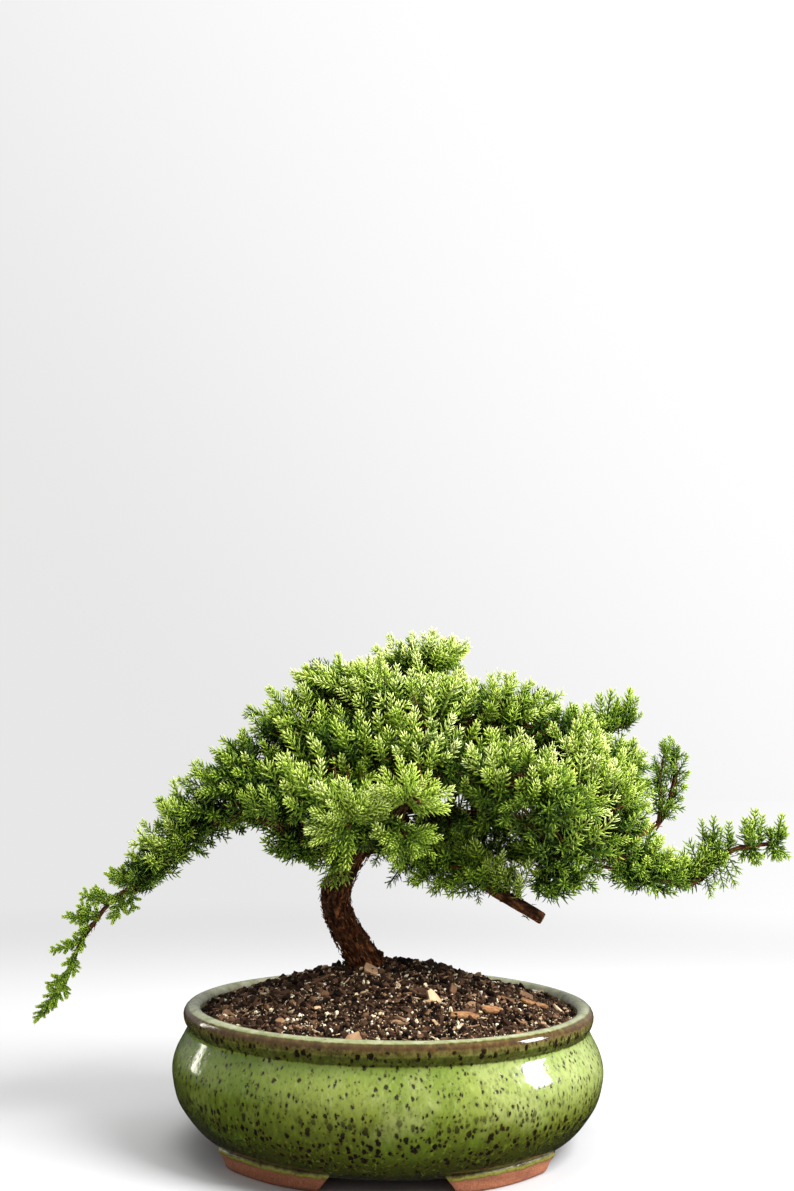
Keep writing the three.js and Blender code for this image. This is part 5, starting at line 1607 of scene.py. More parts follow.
SPECIAL = ("cascade_upper", "cascade_mid", "cascade_tip", "right_tip_inner", "right_tip_outer", "right_sprig", "low_branch_spray", "back_tuft", "right_arm_end")
# per-pad shifts of the tint: the pale new growth at the front and the blue-green tuft are the foliage's own tone, while
# the darker inner, lower and left pads are painted shade and the lighter pads on the right are painted light
PAD_TONE_AND_LIGHT_SHIFT = {"front_bright": 0.20, "front_low": 0.12, "front_left": 0.08, "crown_back": 0.10, "under_dark": -0.03, "back_low": -0.10,
              "low_branch_tuft": 0.09, "trunk_tuft": -0.12, "left_front_low": 0.05, "left_front": 0.0, "right_low": 0.08, "back_tuft": 0.10, "right_side": 0.05,
              "right_front": 0.04, "right_arm": 0.03, "right_hip": 0.05, "left_arm_mid": -0.03, "left_arm_low": 0.0, "left_arm_top": -0.05, "left_shoulder": -0.08,
              "crown_left": 0.02, "crown_mid": 0.04, "right_upper": 0.07, "centre_right": 0.04}
CANOPY = [i for i, p in enumerate(PADS) if p[0] not in SPECIAL]
OUT_FROM = np.array([-8.0, 12.0, 150.0])


def outward(points):
    o = (points - OUT_FROM) / np.array([105.0, 80.0, 130.0])
    o[:, 2] = np.maximum(o[:, 2], 0.15)
    return unit(o)


class Shoots:
    """The list of shoots to plant: kind, tip and base, roll, scale, tint and pad; and the twigs that carry them."""

    def __init__(self):
        self.rows = []
        self.twigs = []

    def add(self, kind, base, direction, tint, pad, scale=1.0, up=(0, 0, 1)):
        self.rows.append((kind, tuple(base), tuple(direction), float(tint), int(pad), float(scale), tuple(up)))

    def twig(self, a, b, c, r0, r1):
        """A curved twig from a by way of b to c."""
        self.twigs.append((tuple(a), tuple(b), tuple(c), r0, r1))


def skeleton():
    out = []
    for name, stems in BRANCHES.items():
        for stem in stems.values():
            path = spline(stem, 3.0)
            t = transport(path[:, :3])[0]
            keep = path[:, 0] < (50 if name == "branch_low_right" else 999)       # its sawn end stays bare
            out.append(np.hstack([path, t])[keep])
    return np.vstack(out)


def lean(points):
    """The way shoots grow: up, and away from the middle of the tree."""
    x = np.clip((points[:, 0] - 24) / 78, -1.15, 0.9)
    y = np.clip((points[:, 1] + 5) / 90, -1, 1)
    return unit(np.stack([0.95 * x, 0.35 * y, np.ones(len(points))], -1))


END_LENGTH = {"scale": 7.7, "open": 18.5, "plump": 18.5, "wisp": 18.5, "feather": 24.5, "mini": 9.5, "leader": 24.5, "inner": 19.5, "cone": 16.5}


def grow_canopy(shoots, templates):
    rng = np.random.default_rng(2024)
    bones = skeleton()

    # hubs under the surface, from which groups of shoots fan out
    P, N, W = canopy_surface(1.0, 900, rng)
    idx = thin_out(P, 26.0, rng)
    C, CN, CW = P[idx], N[idx], W[idx]
    g = unit(0.6 * CN + 0.6 * lean(C) + rng.normal(0, 0.15, C.shape))
    depth = np.minimum(rng.uniform(22, 30, len(C)), PAD_H[CW].min(1) * 1.3 + 4)
    hub = C - g * depth[:, None]
    for _ in range(4):                                  # every hub lies well inside the canopy
        f, grad, _w = canopy_field(hub)
        hub = hub - grad * np.clip((f - 0.5) / np.maximum((grad * grad).sum(1), 1e-6), 0, 400)[:, None]
    g = unit(C - hub)
    hub_tint = rng.normal(0, 0.06, len(C))
    hub_rise = rng.normal(0, 3.2, len(C))
    hub_lean = rng.normal(0, 0.24, C.shape)

    P, N, W = canopy_surface(1.0, 2200, rng, ("front_bright", "trunk_tuft"))
    airy = np.isin(W, [PAD_INDEX["under_dark"], PAD_INDEX["back_low"]])
    space = np.where(N[:, 2] < -0.3, 10.2, 10.3) + np.where(P[:, 1] > 75, 1.0, 0) + np.where(airy, 4.5, 0) - np.where((P[:, 0] > 58) & (P[:, 1] < 40), 0.7, 0)
    idx = thin_out(P, space, rng)
    T, TN, TW = P[idx], N[idx], W[idx]
    up = lean(T)
    for k in range(len(T)):
        d = np.linalg.norm(C - T[k], axis=1) + 7.0 * (1 - CN @ TN[k])
        c = int(d.argmin())
        down = TN[k][2] < -0.25
        right = T[k][0] > 58
        if down:
            side = unit(np.array([TN[k][0], TN[k][1], 0]) + 1e-6)
            direction = 0.45 * TN[k] + 0.55 * side + 0.22 * up[k] + rng.normal(0, 0.2, 3)
        else:
            direction = 0.40 * TN[k] + 0.52 * up[k] + 0.46 * unit(T[k] - hub[c]) + hub_lean[c] + rng.normal(0, 0.22 if right else 0.13, 3)
        direction = unit(direction)
        roll = rng.uniform()
        if down:
            kind = "open" if roll < 0.7 else "wisp"
        elif right:
            kind = "open" if roll < 0.42 else "wisp" if roll < 0.52 else "plump" if roll < 0.86 else "feather"
        else:
            kind = "feather" if roll < 0.20 else "plump" if roll < 0.94 else "open"
        scale = rng.uniform(0.88, 1.12) if down or right else rng.uniform(1.0, 1.28)
        length = END_LENGTH[kind] * scale
        rise = hub_rise[c] + rng.normal(0, 2.4) + 0.04 * length + (2.5 if TN[k][2] < 0.3 else 0)
        tip = T[k] + direction * rise
        if tip[1] < 0 and -24 < tip[0] < 30 and tip[2] < 173 and PADS[TW[k]][0] in ("front_low", "centre_left", "trunk_tuft"):
            continue
        # painted light and shade in the tint: shoots are lighter where the canopy faces up, forward and to the right,
        # where their hub rises further and high in the crown; a random part and the per-pad shift are added
        tint = 0.53 + 0.13 * TN[k][2] + 0.12 * max(0, -TN[k][1]) + 0.05 * TN[k][0] + 0.012 * hub_rise[c] + hub_tint[c] + rng.normal(0, 0.045) \
            + 0.08 * float(np.clip((T[k][2] - 212) / 22, 0, 1)) + (-0.05 if right else 0.015) + PAD_TONE_AND_LIGHT_SHIFT.get(PADS[TW[k]][0], 0)
        # painted shade: shoots on the underside are kept dark
        if down:
            tint = min(tint, 0.50 + rng.normal(0, 0.04))
        base = tip - direction * length
        f = float(canopy_field(base[None])[0][0])
        if f > 0.92:                                    # keep the root of the shoot inside the canopy
            scale *= 0.72
            length *= 0.72
            base = tip - direction * length
            if float(canopy_field(base[None])[0][0]) > 1.0:
                direction = unit(direction + 1.2 * TN[k])
                base = tip - direction * length
                if float(canopy_field(base[None])[0][0]) > 1.0:
                    continue
        top = up[k] if not down else -TN[k] + np.array([0, 0, 0.5])
        shoots.add(kind, base, direction, tint, TW[k], scale, up=tuple(TN[k] * 0.4 + np.array([0, 0, 0.8])) if not down else tuple(top))
        shoots.twig(base + direction * 0.8, (base + hub[c]) / 2 - direction * 2.0, hub[c], 0.5, 0.85)
    for c in range(len(C)):
        d = np.linalg.norm(bones[:, :3] - hub[c], axis=1)
        k = int(d.argmin())
        a, tangent = bones[k, :3], bones[k, 4:7]
        reach = float(d[k])
        if reach < 2:
            continue
        shoots.twig(hub[c] + g[c] * 1.0, a + tangent * reach * 0.45 + (hub[c] - a) * 0.25, a, 0.9, min(1.9, 0.9 + reach * 0.02))

    # the twigs of the airy underside carry small shoots of their own, darkened as painted shade
    airy_pads = ("under_dark", "back_low")
    for a, b, c, r0, r1 in list(shoots.twigs):
        a, b, c = np.array(a), np.array(b), np.array(c)
        mid = 0.25 * a + 0.5 * b + 0.25 * c
        w = PADS[int(canopy_field(mid[None])[2][0])][0]
        if w not in airy_pads or mid[2] > 192:
            continue
        for s in (0.25, 0.5, 0.75):
            p = (1 - s) ** 2 * a + 2 * s * (1 - s) * b + s ** 2 * c
            d = unit(unit(a - c) * 0.5 + rng.normal(0, 0.6, 3) + np.array([0, -0.3, -0.15]))
            if rng.uniform() < 0.8:
                shoots.add("open", p, d, 0.38 + rng.normal(0, 0.04), PAD_INDEX[w], rng.uniform(0.5, 0.75))

    # deeper layers that close the canopy, given low tints as painted shade inside it and lighter ones on the right as
    # painted light
    for level, spacing, kinds, lo, hi in ((0.80, 8.4, ("plump", "inner", "plump"), 0.14, 0.32), (0.48, 13.0, ("inner",), 0.03, 0.14)):
        P, N, W = canopy_surface(level, 700, rng, ("under_dark", "low_branch_tuft", "trunk_tuft", "front_bright") if level < 0.7 else ("front_bright", "trunk_tuft", "under_dark", "back_low"))
        idx = thin_out(P, spacing, rng)
        T, TN, TW = P[idx], N[idx], W[idx]
        up = lean(T)
        for k in range(len(T)):
            if PADS[TW[k]][0] in ("low_branch_tuft", "left_front_low") and rng.uniform() < 0.3:
                continue
            direction = unit(0.7 * TN[k] + 0.5 * up[k] * (TN[k][2] > -0.3) + rng.normal(0, 0.3, 3))
            kind = kinds[int(rng.integers(len(kinds)))]
            s = rng.uniform(0.85, 1.1)
            tip = T[k] + direction * rng.uniform(0, 6)
            f = float(canopy_field(tip[None])[0][0])
            if f > 0.97:
                tip = T[k]
                if float(canopy_field(tip[None])[0][0]) > 0.93:
                    continue
            base = tip - direction * END_LENGTH[kind] * s
            if float(canopy_field(base[None])[0][0]) > 0.85:
                continue
            shoots.add(kind, base, direction, rng.uniform(lo, hi) + (0.08 if T[k][0] > 58 else 0.02) + 0.4 * PAD_TONE_AND_LIGHT_SHIFT.get(PADS[TW[k]][0], 0), TW[k], s)
            d = np.linalg.norm(bones[:, :3] - base, axis=1)
            b = int(d.argmin())
            a = bones[b, :3]
            if d[b] > 2:
                shoots.twig(base + direction * 0.8, (base * 0.6 + a * 0.4) - direction * 2, a, 0.5, 0.9)


def spray(shoots, rng, root, direction, length, pad, kind_main, kind_side, tint, step=6.0, side_len=1.0, plane=None, spread=48, droop=0.0, start=0.25,
          radius=0.8, alternate=True, tip_scale=1.0):
    """A small branchlet: a thin stem with side shoots and an end shoot."""
    direction = unit(np.array(direction, float))
    root = np.array(root, float)
    normal = unit(np.array(plane if plane is not None else (0, -1, 0), float))
    side = unit(np.cross(normal, direction))
    n = max(3, int(length / 3))
    t = np.linspace(0, 1, n)
    path = root + direction * (t * length)[:, None] + np.array([0, 0, -1.0]) * (droop * length * t ** 2)[:, None]
    tangent = transport(path)[0]
    shoots.twig(path[-1], path[n // 2], path[0] - direction * 1.5, radius * 0.55, radius)
    shoots.add(kind_main, path[-1] - tangent[-1] * 2.0, tangent[-1], tint + 0.06, pad, tip_scale)
    s, flip = start * length, 1 if rng.uniform() < 0.5 else -1
    while s < length:
        k = min(n - 1, int(s / length * (n - 1) + 0.5))
        a = math.radians(rng.normal(spread, 6))
        twist = rng.normal(0, 0.35)
        out = unit(side * flip * math.cos(twist) + normal * math.sin(twist))
        d = unit(tangent[k] * math.cos(a) + out * math.sin(a))
        fall = side_len * (1.05 - 0.45 * s / length)
        shoots.add(kind_side, path[k] + d * 0.4, d, tint + rng.normal(0, 0.04), pad, fall * rng.uniform(0.85, 1.12))
        flip = -flip if alternate else (1 if rng.uniform() < 0.5 else -1)
        s += step * rng.uniform(0.8, 1.2) * 0.5
    return path


CASCADE = [   # from, to, length of the side shoots, their spacing, mm
    ((-155.7, -11.0, 149.3), (-173.0, -13.0, 158.8), 1.35, 3.4),
    ((-157.3, -16.0, 148.2), (-174.9, -18.0, 155.9), 1.1, 3.4),
    ((-171.4, -12.0, 136.7), (-190.7, -14.0, 143.3), 1.2, 3.2),
    ((-173.8, -8.0, 135.9), (-183.8, -10.0, 147.1), 1.1, 3.2),
    ((-178.4, -13.0, 129.5), (-192.2, -15.0, 136.4), 1.2, 3.2),
    ((-180.2, -12.0, 128.3), (-200.4, -14.0, 129.2), 1.1, 3.2),
    ((-161.3, -13.0, 141.3), (-169.3, -15.0, 125.0), 1.25, 3.2),
    ((-158.6, -15.0, 143.9), (-155.8, -17.0, 131.6), 1.1, 3.2),
    ((-182.9, -14.0, 123.3), (-189.0, -16.0, 121.4), 0.7, 3.0),
    ((-184.8, -13.0, 120.8), (-191.2, -15.0, 119.2), 0.7, 3.0),
    ((-187.3, -15.0, 115.3), (-207.2, -17.0, 108.0), 1.0, 3.1),
    ((-189.6, -12.0, 114.1), (-200.3, -14.0, 113.4), 0.8, 3.0),
    ((-185.5, -17.0, 117.1), (-187.0, -19.0, 108.0), 0.9, 3.0),
    ((-193.5, -15.0, 103.2), (-198.6, -17.0, 100.8), 0.7, 3.0),
    ((-195.6, -16.0, 98.1), (-207.1, -18.0, 86.9), 0.95, 3.0),
    ((-189.7, -17.0, 105.3), (-189.9, -19.0, 93.9), 0.85, 3.0),
    ((-195.1, -17.0, 94.2), (-212.9, -19.0, 66.7), 1.05, 2.9),
    ((-195.7, -19.0, 90.4), (-203.4, -21.0, 75.6), 0.9, 2.9),
    ((-195.6, -15.0, 92.1), (-194.5, -17.0, 80.8), 0.85, 2.9),
    ((-200.0, -15.0, 82.7), (-207.9, -17.0, 71.4), 0.8, 2.9),
]
RIGHT_TIPS = [   # from, to, kind, scale
    ((196.9, -22.0, 175.3), (196.3, -24.0, 195.8), "cone", 1.05),
    ((204.1, -26.0, 176.2), (205.8, -25.0, 194.8), "cone", 0.95),
    ((192.4, -18.0, 176.2), (190.8, -20.0, 193.2), "cone", 0.8),
    ((198.4, -30.0, 173.4), (199.7, -29.0, 188.2), "cone", 0.8),
    ((221.1, -22.0, 178.6), (223.0, -24.0, 206.4), "cone", 1.25),
    ((217.0, -27.0, 179.4), (215.4, -26.0, 197.3), "cone", 0.85),
    ((225.2, -18.0, 179.6), (228.8, -20.0, 197.3), "cone", 0.85),
    ((217.4, -32.0, 179.1), (217.5, -31.0, 195.7), "cone", 0.7),
    ((236.3, -22.0, 180.6), (238.7, -24.0, 198.7), "cone", 0.95),
    ((233.2, -26.0, 180.1), (232.0, -25.0, 190.3), "mini", 1.0),
    ((240.0, -20.0, 180.5), (242.1, -22.0, 190.3), "mini", 1.0),
    ((219.2, -23.0, 177.4), (220.7, -22.0, 166.0), "mini", 1.25),
    ((220.9, -26.0, 177.6), (224.9, -28.0, 168.2), "mini", 1.2),
    ((217.1, -20.0, 176.0), (214.6, -19.0, 166.9), "mini", 1.1),
    ((233.1, -22.0, 179.3), (233.6, -24.0, 166.3), "mini", 1.3),
    ((235.6, -26.0, 179.6), (239.2, -25.0, 168.8), "mini", 1.1),
    ((231.6, -19.0, 178.6), (227.6, -21.0, 170.2), "mini", 1.0),
    ((202.2, -22.0, 169.4), (210.0, -21.0, 153.3), "open", 0.9),
    ((204.9, -26.0, 172.6), (211.9, -28.0, 159.2), "open", 0.85),
    ((199.8, -17.0, 167.2), (203.4, -16.0, 152.2), "open", 0.85),
    ((195.2, -25.0, 164.7), (196.8, -27.0, 150.7), "open", 0.75),
    ((191.4, -23.0, 159.8), (194.0, -22.0, 146.1), "open", 0.7),
    ((189.3, -19.0, 157.7), (197.7, -21.0, 150.2), "open", 0.7),
    ((189.1, -20.0, 160.7), (181.8, -19.0, 178.6), "open", 0.95),
    ((192.5, -26.0, 164.8), (186.4, -28.0, 181.5), "open", 0.95),
    ((199.9, -17.0, 167.8), (194.4, -16.0, 183.4), "open", 0.9),
    ((184.4, -24.0, 157.4), (175.7, -26.0, 172.9), "open", 0.9),
    ((181.6, -20.0, 154.7), (172.3, -19.0, 166.5), "open", 0.85),
]
BACK_TUFT = [   # from, to
    ((142.2, 74.0, 249.4), (139.3, 72.0, 267.3)),
    ((145.0, 70.0, 249.3), (145.0, 72.0, 273.7)),
    ((149.1, 73.0, 250.1), (151.2, 71.0, 277.2)),
    ((151.7, 68.0, 250.7), (155.8, 70.0, 272.3)),
    ((156.6, 76.0, 251.7), (161.4, 74.0, 269.1)),
    ((160.1, 72.0, 253.0), (166.4, 74.0, 279.0)),
    ((163.2, 70.0, 255.7), (170.0, 68.0, 272.3)),
    ((158.4, 78.0, 252.5), (155.4, 80.0, 265.9)),
    ((143.8, 67.0, 247.8), (135.3, 65.0, 259.3)),
    ((152.9, 79.0, 249.7), (147.8, 81.0, 263.7)),
    ((162.0, 75.0, 253.2), (168.8, 73.0, 262.2)),
]
BACK_TUFT_TWIG = [(129.0, 70.0, 237.4, 1.8), (138.9, 71.0, 244.4, 1.6), (147.5, 72.0, 249.4, 1.4), (156.6, 72.0, 251.6, 1.2), (164.3, 72.0, 255.8, 0.8)]


def grow_special(shoots):
    rng = np.random.default_rng(99)
    PI = PAD_INDEX
    left = spline(BRANCHES["branch_left"]["main"], 1.0)
    arc = np.concatenate([[0], np.cumsum(np.linalg.norm(np.diff(left[:, :3], axis=0), axis=1))])

    def at(path, x=None, z=None):
        k = int(np.abs(path[:, 0] - x).argmin()) if x is not None else int(np.abs(path[:, 2] - z).argmin())
        t = unit(path[min(k + 1, len(path) - 1), :3] - path[max(k - 1, 0), :3])
        return path[k, :3], t

    # the cascade: flat fronds of scale-like leaves, and scales that clothe the end of the stem
    cu, cm, ct = PI["cascade_upper"], PI["cascade_mid"], PI["cascade_tip"]
    for a, b, sc, step in CASCADE:
        a, b = np.array(a), np.array(b)
        k = int(np.linalg.norm(left[:, :3] - a, axis=1).argmin())
        if np.linalg.norm(left[k, :3] - a) < 9:
            a = left[k, :3]
        pad = cu if a[2] > 119 else cm if a[2] > 92 else ct
        d = b - a
        length = max(3.0, float(np.linalg.norm(d)) - 5.5)
        path = spray(shoots, rng, a, d, length, pad, "scale", "scale", 0.50 + rng.normal(0, 0.03), step=step, side_len=sc, spread=44, radius=0.55, start=0.12)
        for f in np.arange(1.0, length, 4.2):
            q = path[min(len(path) - 1, int(f / length * (len(path) - 1)))]
            shoots.add("scale", q, unit(d) + rng.normal(0, 0.06, 3), 0.46 + rng.normal(0, 0.03), pad, 0.95)
        if pad == cu:
            for f in np.arange(2.0, length, 3.5):
                q = path[min(len(path) - 1, int(f / length * (len(path) - 1)))]
                shoots.add("mini", q, unit(d) * 0.7 + unit(rng.normal(0, 1, 3)) * 0.8, 0.46 + rng.normal(0, 0.03), pad, 0.62)
    k = int(np.abs(left[:, 2] - 112).argmin()) if left[:, 2].min() < 112 else len(left) - 1
    while k < len(left) - 3:
        t = unit(left[k + 2, :3] - left[k, :3])
        shoots.add("scale", left[k, :3], t, 0.44 + rng.normal(0, 0.03), cm if left[k, 2] > 92 else ct, 1.25)
        k += 4
    # open, star-like shoots round the stem where the left arm ends, the downward ones darker as painted shade
    for x in np.arange(-142, -164, -0.8):
        p, t = at(left, x=x)
        d = unit(rng.normal(0, 1, 3) + np.array([-0.25, -0.3, 0.15]))
        low = d[2] < -0.1
        s = rng.uniform(0.6, 0.95) * (1.0 - 0.020 * (-142 - x))
        shoots.add("open" if low else "mini" if rng.uniform() < 0.3 else "plump", p + d, d, (0.38 if low else 0.48) + rng.normal(0, 0.04), cu, s)

    right = spline(BRANCHES["branch_right"]["main"], 1.0)
    ti, to = PI["right_tip_inner"], PI["right_tip_outer"]
    for a, b, kind, sc in RIGHT_TIPS:
        a, b = np.array(a), np.array(b)
        k = int(np.linalg.norm(right[:, :3] - a, axis=1).argmin())
        if np.linalg.norm(right[k, :3] - a) < 7:
            a = right[k, :3]
        d = b - a
        n = float(np.linalg.norm(d))
        d = d / n
        pad = to if a[0] > 230 else ti
        fit = n / END_LENGTH[kind]
        shoots.add(kind, a, d, 0.55 + rng.normal(0, 0.03), pad, float(np.clip(fit, 0.7, 1.5)), up=(0, -1, 0.2))
        if fit > 1.1 or kind == "cone":
            for _ in range(3):
                e = unit(d + rng.normal(0, 0.55, 3))
                shoots.add("mini", a + d * rng.uniform(0, 0.3) * n, e, 0.50 + rng.normal(0, 0.03), pad, sc * rng.uniform(0.7, 1.0))

    ra = PI["right_arm_end"]
    for k in range(46):
        x = rng.uniform(172, 200)
        p, t = at(right, x=x)
        a = rng.uniform(-1.7, 1.7)
        d = unit(np.array([rng.normal(0.1, 0.45), math.sin(a) * 0.9, math.cos(a) + (-0.35 if k % 3 == 0 else 0.25)]))
        if x > 188 and d[2] < 0.2 and k % 2:
            continue
        kind = "open" if rng.uniform() < 0.55 else "cone"
        # painted light: shoots that point up are lighter
        shoots.add(kind, p + d, d, 0.50 + 0.10 * d[2] + rng.normal(0, 0.03), ra, rng.uniform(0.75, 1.05) * (1.2 if d[2] > 0.6 and x < 190 else 0.95))

    # the tuft behind on the right: plump shoots along a bare twig
    bt = PI["back_tuft"]
    line = spline(BACK_TUFT_TWIG, 2.0)
    for k in range(0, len(line) - 4, 4):
        shoots.twig(line[min(k + 4, len(line) - 1), :3], line[k + 2, :3], line[k, :3], float(line[min(k + 4, len(line) - 1), 3]), float(line[k, 3]))
    for a, b in BACK_TUFT:
        a, b = np.array(a), np.array(b)
        d = b - a
        n = float(np.linalg.norm(d))
        shoots.add("plump", a, d / n, 0.56 + rng.normal(0, 0.03), bt, n / END_LENGTH["plump"], up=(0, -1, 0.2))
        for _ in range(4):
            e = unit(d / n + rng.normal(0, 0.45, 3))
            shoots.add("plump" if rng.uniform() < 0.5 else "mini", a + rng.normal(0, 1.5, 3), e, 0.50 + rng.normal(0, 0.04), bt, rng.uniform(0.7, 1.0))

    sprig = spline(BRANCHES["branch_right_sprig"]["main"], 1.0)
    sp = PI["right_sprig"]
    for z, d, length in ((190, (0.6, -0.2, 0.5), 5), (193, (-0.4, 0.3, 0.8), 6), (197, (0.75, 0.1, 0.5), 6), (200, (-0.7, -0.2, 0.6), 7), (204, (0.6, -0.5, 0.6), 6),
                         (207, (-0.6, 0.5, 0.6), 7), (211, (0.75, 0.2, 0.6), 6), (214, (-0.65, -0.4, 0.7), 6), (218, (0.5, -0.3, 0.8), 6),
                         (222, (-0.5, 0.2, 0.85), 6), (226, (0.35, 0.3, 0.9), 5), (229, (-0.25, -0.2, 0.95), 5), (231, (0.05, 0, 1), 3)):
        p, t = at(sprig, z=z)
        spray(shoots, rng, p, d, length, sp, "plump", "mini", 0.50 + rng.normal(0, 0.03), step=5, side_len=1.15, spread=48, radius=0.6, tip_scale=0.68)

    prong = spline([(170, 5, 190, 1.5), (171.5, 5, 202, 1.3), (171.0, 4, 214, 1.1), (172.5, 4, 226, 0.9), (174, 4, 233, 0.7)], 2.0)
    for k in range(0, len(prong) - 4, 4):
        e = min(k + 4, len(prong) - 1)
        shoots.twig(prong[e, :3], prong[k + 2, :3], prong[k, :3], float(prong[e, 3]), float(prong[k, 3]))
    for k in range(2, len(prong), 2):
        t = unit(prong[min(k + 1, len(prong) - 1), :3] - prong[k - 1, :3])
        for _ in range(2):
            d = unit(t * 0.8 + unit(rng.normal(0, 1, 3)) * 0.75)
            shoots.add("mini" if rng.uniform() < 0.5 else "open", prong[k, :3] + d * 0.6, d, 0.47 + rng.normal(0, 0.04), sp, rng.uniform(0.62, 0.9))
    shoots.add("cone", prong[-1, :3] - t * 3, t, 0.52, sp, 0.85)

    # rosettes of pale new growth at the front, the largest round a brown bud
    pb = PI["front_bright"]
    for centre, radius, tint, tiers, anchor in (
            ((8.0, -85.0, 200.5), 27.0, 0.76, ((6, 0.10, -66, 98), (4, 0.50, -45, 80), (5, -0.45, -80, 100), (2, 0.95, -25, 45), (3, -0.95, -60, 90)), (4, -56, 200.0)),
            ((-23.5, -86.0, 190.0), 26.0, 0.72, ((6, 0.10, -105, 58), (4, 0.50, -80, 40), (5, -0.45, -118, 78), (2, 1.0, -60, 35), (3, -0.95, -90, 60), (3, 0.15, -175, -120)), (-20, -56, 190.0)),
            ((7.5, -82.0, 184.5), 19.0, 0.63, ((6, 0.10, 92, 264), (4, 0.55, 105, 250), (5, -0.45, 84, 276), (2, 1.0, 145, 225)), (2, -56, 188.0))):
        centre = np.array(centre)
        back = centre + np.array([0, 8, -1])
        for count, out, a0, a1 in tiers:
            for k in range(count):
                a = math.radians(a0 + (a1 - a0) * k / (count - 1) + rng.normal(0, 5))
                d = unit(np.array([math.sin(a), -out + rng.normal(0, 0.07), math.cos(a)]))
                base = centre + d * 3.2 + np.array([0, 4.0 if out < -0.2 else 1.5, 0])
                kind = "feather" if rng.uniform() < 0.30 else "leader" if rng.uniform() < 0.6 else "plump"
                shrink = 1.0 if out < 0.3 else 0.86 if out < 0.8 else 0.66
                reach = (radius - 3.2) / END_LENGTH[kind] * shrink * rng.uniform(0.88, 1.08)
                # painted shade: shoots that point back or down are darker, and those that point forward lighter
                shoots.add(kind, base, d, tint + (0.05 if out > 0.3 else -0.20 if out < -0.5 else -0.09 if out < 0 else 0) - 0.15 * max(0.0, -d[2]) + rng.normal(0, 0.035), pb, float(np.clip(reach, 0.72, 1.3)), up=(0, -1, 0.2))
        shoots.twig(back, back + np.array([-1, 8, 2]), np.array(anchor), 1.0, 2.0)
        shoots.twig(back + np.array([0, 0, -1]), centre + np.array([0, 3, -1.5]), centre + np.array([0.5, 0.5, -2.0]), 1.3, 1.1)

    # the sprays under the low branch: their low tints, darker towards the back, are painted shade under the canopy
    low = spline(BRANCHES["branch_low_right"]["main"], 1.0)
    lb = PI["low_branch_spray"]
    for x, d, tint, sc in ((-6, (-0.2, -0.7, -0.6), 0.34, 0.8), (4, (0.4, -0.5, -0.75), 0.30, 0.8), (12, (-0.5, -0.6, -0.6), 0.30, 0.9),
                           (17, (0.25, -0.75, -0.55), 0.34, 0.85), (20, (-0.8, -0.4, -0.45), 0.32, 1.0), (24, (-0.45, -0.6, -0.65), 0.36, 1.0),
                           (27, (-0.85, -0.3, -0.30), 0.30, 1.05), (31, (-0.60, -0.55, -0.55), 0.38, 1.05), (34, (-0.2, -0.8, -0.5), 0.36, 0.9),
                           (37, (-0.85, -0.35, -0.35), 0.34, 1.1), (41, (-0.70, -0.5, -0.5), 0.40, 1.1), (44, (-0.3, -0.8, -0.35), 0.38, 0.95),
                           (47, (-0.88, -0.25, -0.35), 0.34, 1.1), (50, (-0.65, -0.6, -0.45), 0.40, 1.05), (53, (-0.25, -0.75, 0.1), 0.38, 1.0),
                           (57, (-0.75, -0.5, -0.3), 0.36, 0.95), (60, (-0.3, -0.8, 0.35), 0.36, 1.0), (63, (0.1, -0.6, 0.7), 0.34, 1.0),
                           (67, (0.3, -0.5, 0.75), 0.34, 0.95), (72, (0.35, -0.3, 0.85), 0.32, 0.9)):
        p, t = at(low, x=x)
        d = np.array(d, float)
        spray(shoots, rng, p, d, 6 + 5 * sc, lb, "open", "open", tint + 0.07 + rng.normal(0, 0.02), step=8, side_len=0.72 * sc, spread=46, radius=0.9,
              tip_scale=0.9 * sc, plane=(0.1, -0.8, 0.5), start=0.5)
    for x, d, length, tint in ((16, (-0.6, 0.3, -0.65), 15, 0.14), (24, (-0.3, 0.6, -0.55), 15, 0.12), (32, (-0.7, 0.5, -0.5), 16, 0.14), (40, (-0.4, 0.6, -0.6), 14, 0.12),
                               (48, (-0.4, 0.7, -0.3), 14, 0.12), (30, (0.0, 0.3, 0.9), 14, 0.16), (44, (0.1, 0.2, 0.95), 14, 0.16), (58, (0.3, 0.3, 0.9), 14, 0.16)):
        p, t = at(low, x=x)
        spray(shoots, rng, p, d, length, lb, "open", "open", tint + rng.normal(0, 0.02), step=7.5, side_len=0.8, spread=50, radius=0.8, tip_scale=0.9,
              plane=(0.2, -0.5, 0.85))

    for k in range(64):
        x = rng.uniform(2, 66)
        p, t = at(low, x=x)
        a = rng.uniform(-2.7, 0.6)
        around = unit(np.array([0, math.cos(a + math.pi / 2) * -1.0, math.sin(a + math.pi / 2)]))
        d = unit(around + np.array([-0.45, -0.45, -0.10]) + rng.normal(0, 0.25, 3))
        shoots.add("open", p + d * 1.0, d, 0.42 + rng.normal(0, 0.035), lb, rng.uniform(0.62, 0.95))

    for k in range(46):
        x = rng.uniform(46, 80)
        p, t = at(low, x=min(x, 74))
        base = p + np.array([x - min(x, 74), rng.uniform(-13, 11), rng.uniform(1.5, 12.0)])
        d = unit(np.array([rng.normal(0.0, 0.45), rng.normal(-0.35, 0.35), rng.normal(0.75, 0.25)]))
        shoots.add("open" if rng.uniform() < 0.7 else "plump", base, d, 0.40 - 0.012 * (base[1] + 24) + rng.normal(0, 0.035), lb, rng.uniform(0.6, 0.9))
        shoots.twig(base + d, (base + p) / 2 + np.array([0, 0, 1.0]), p, 0.4, 0.6)

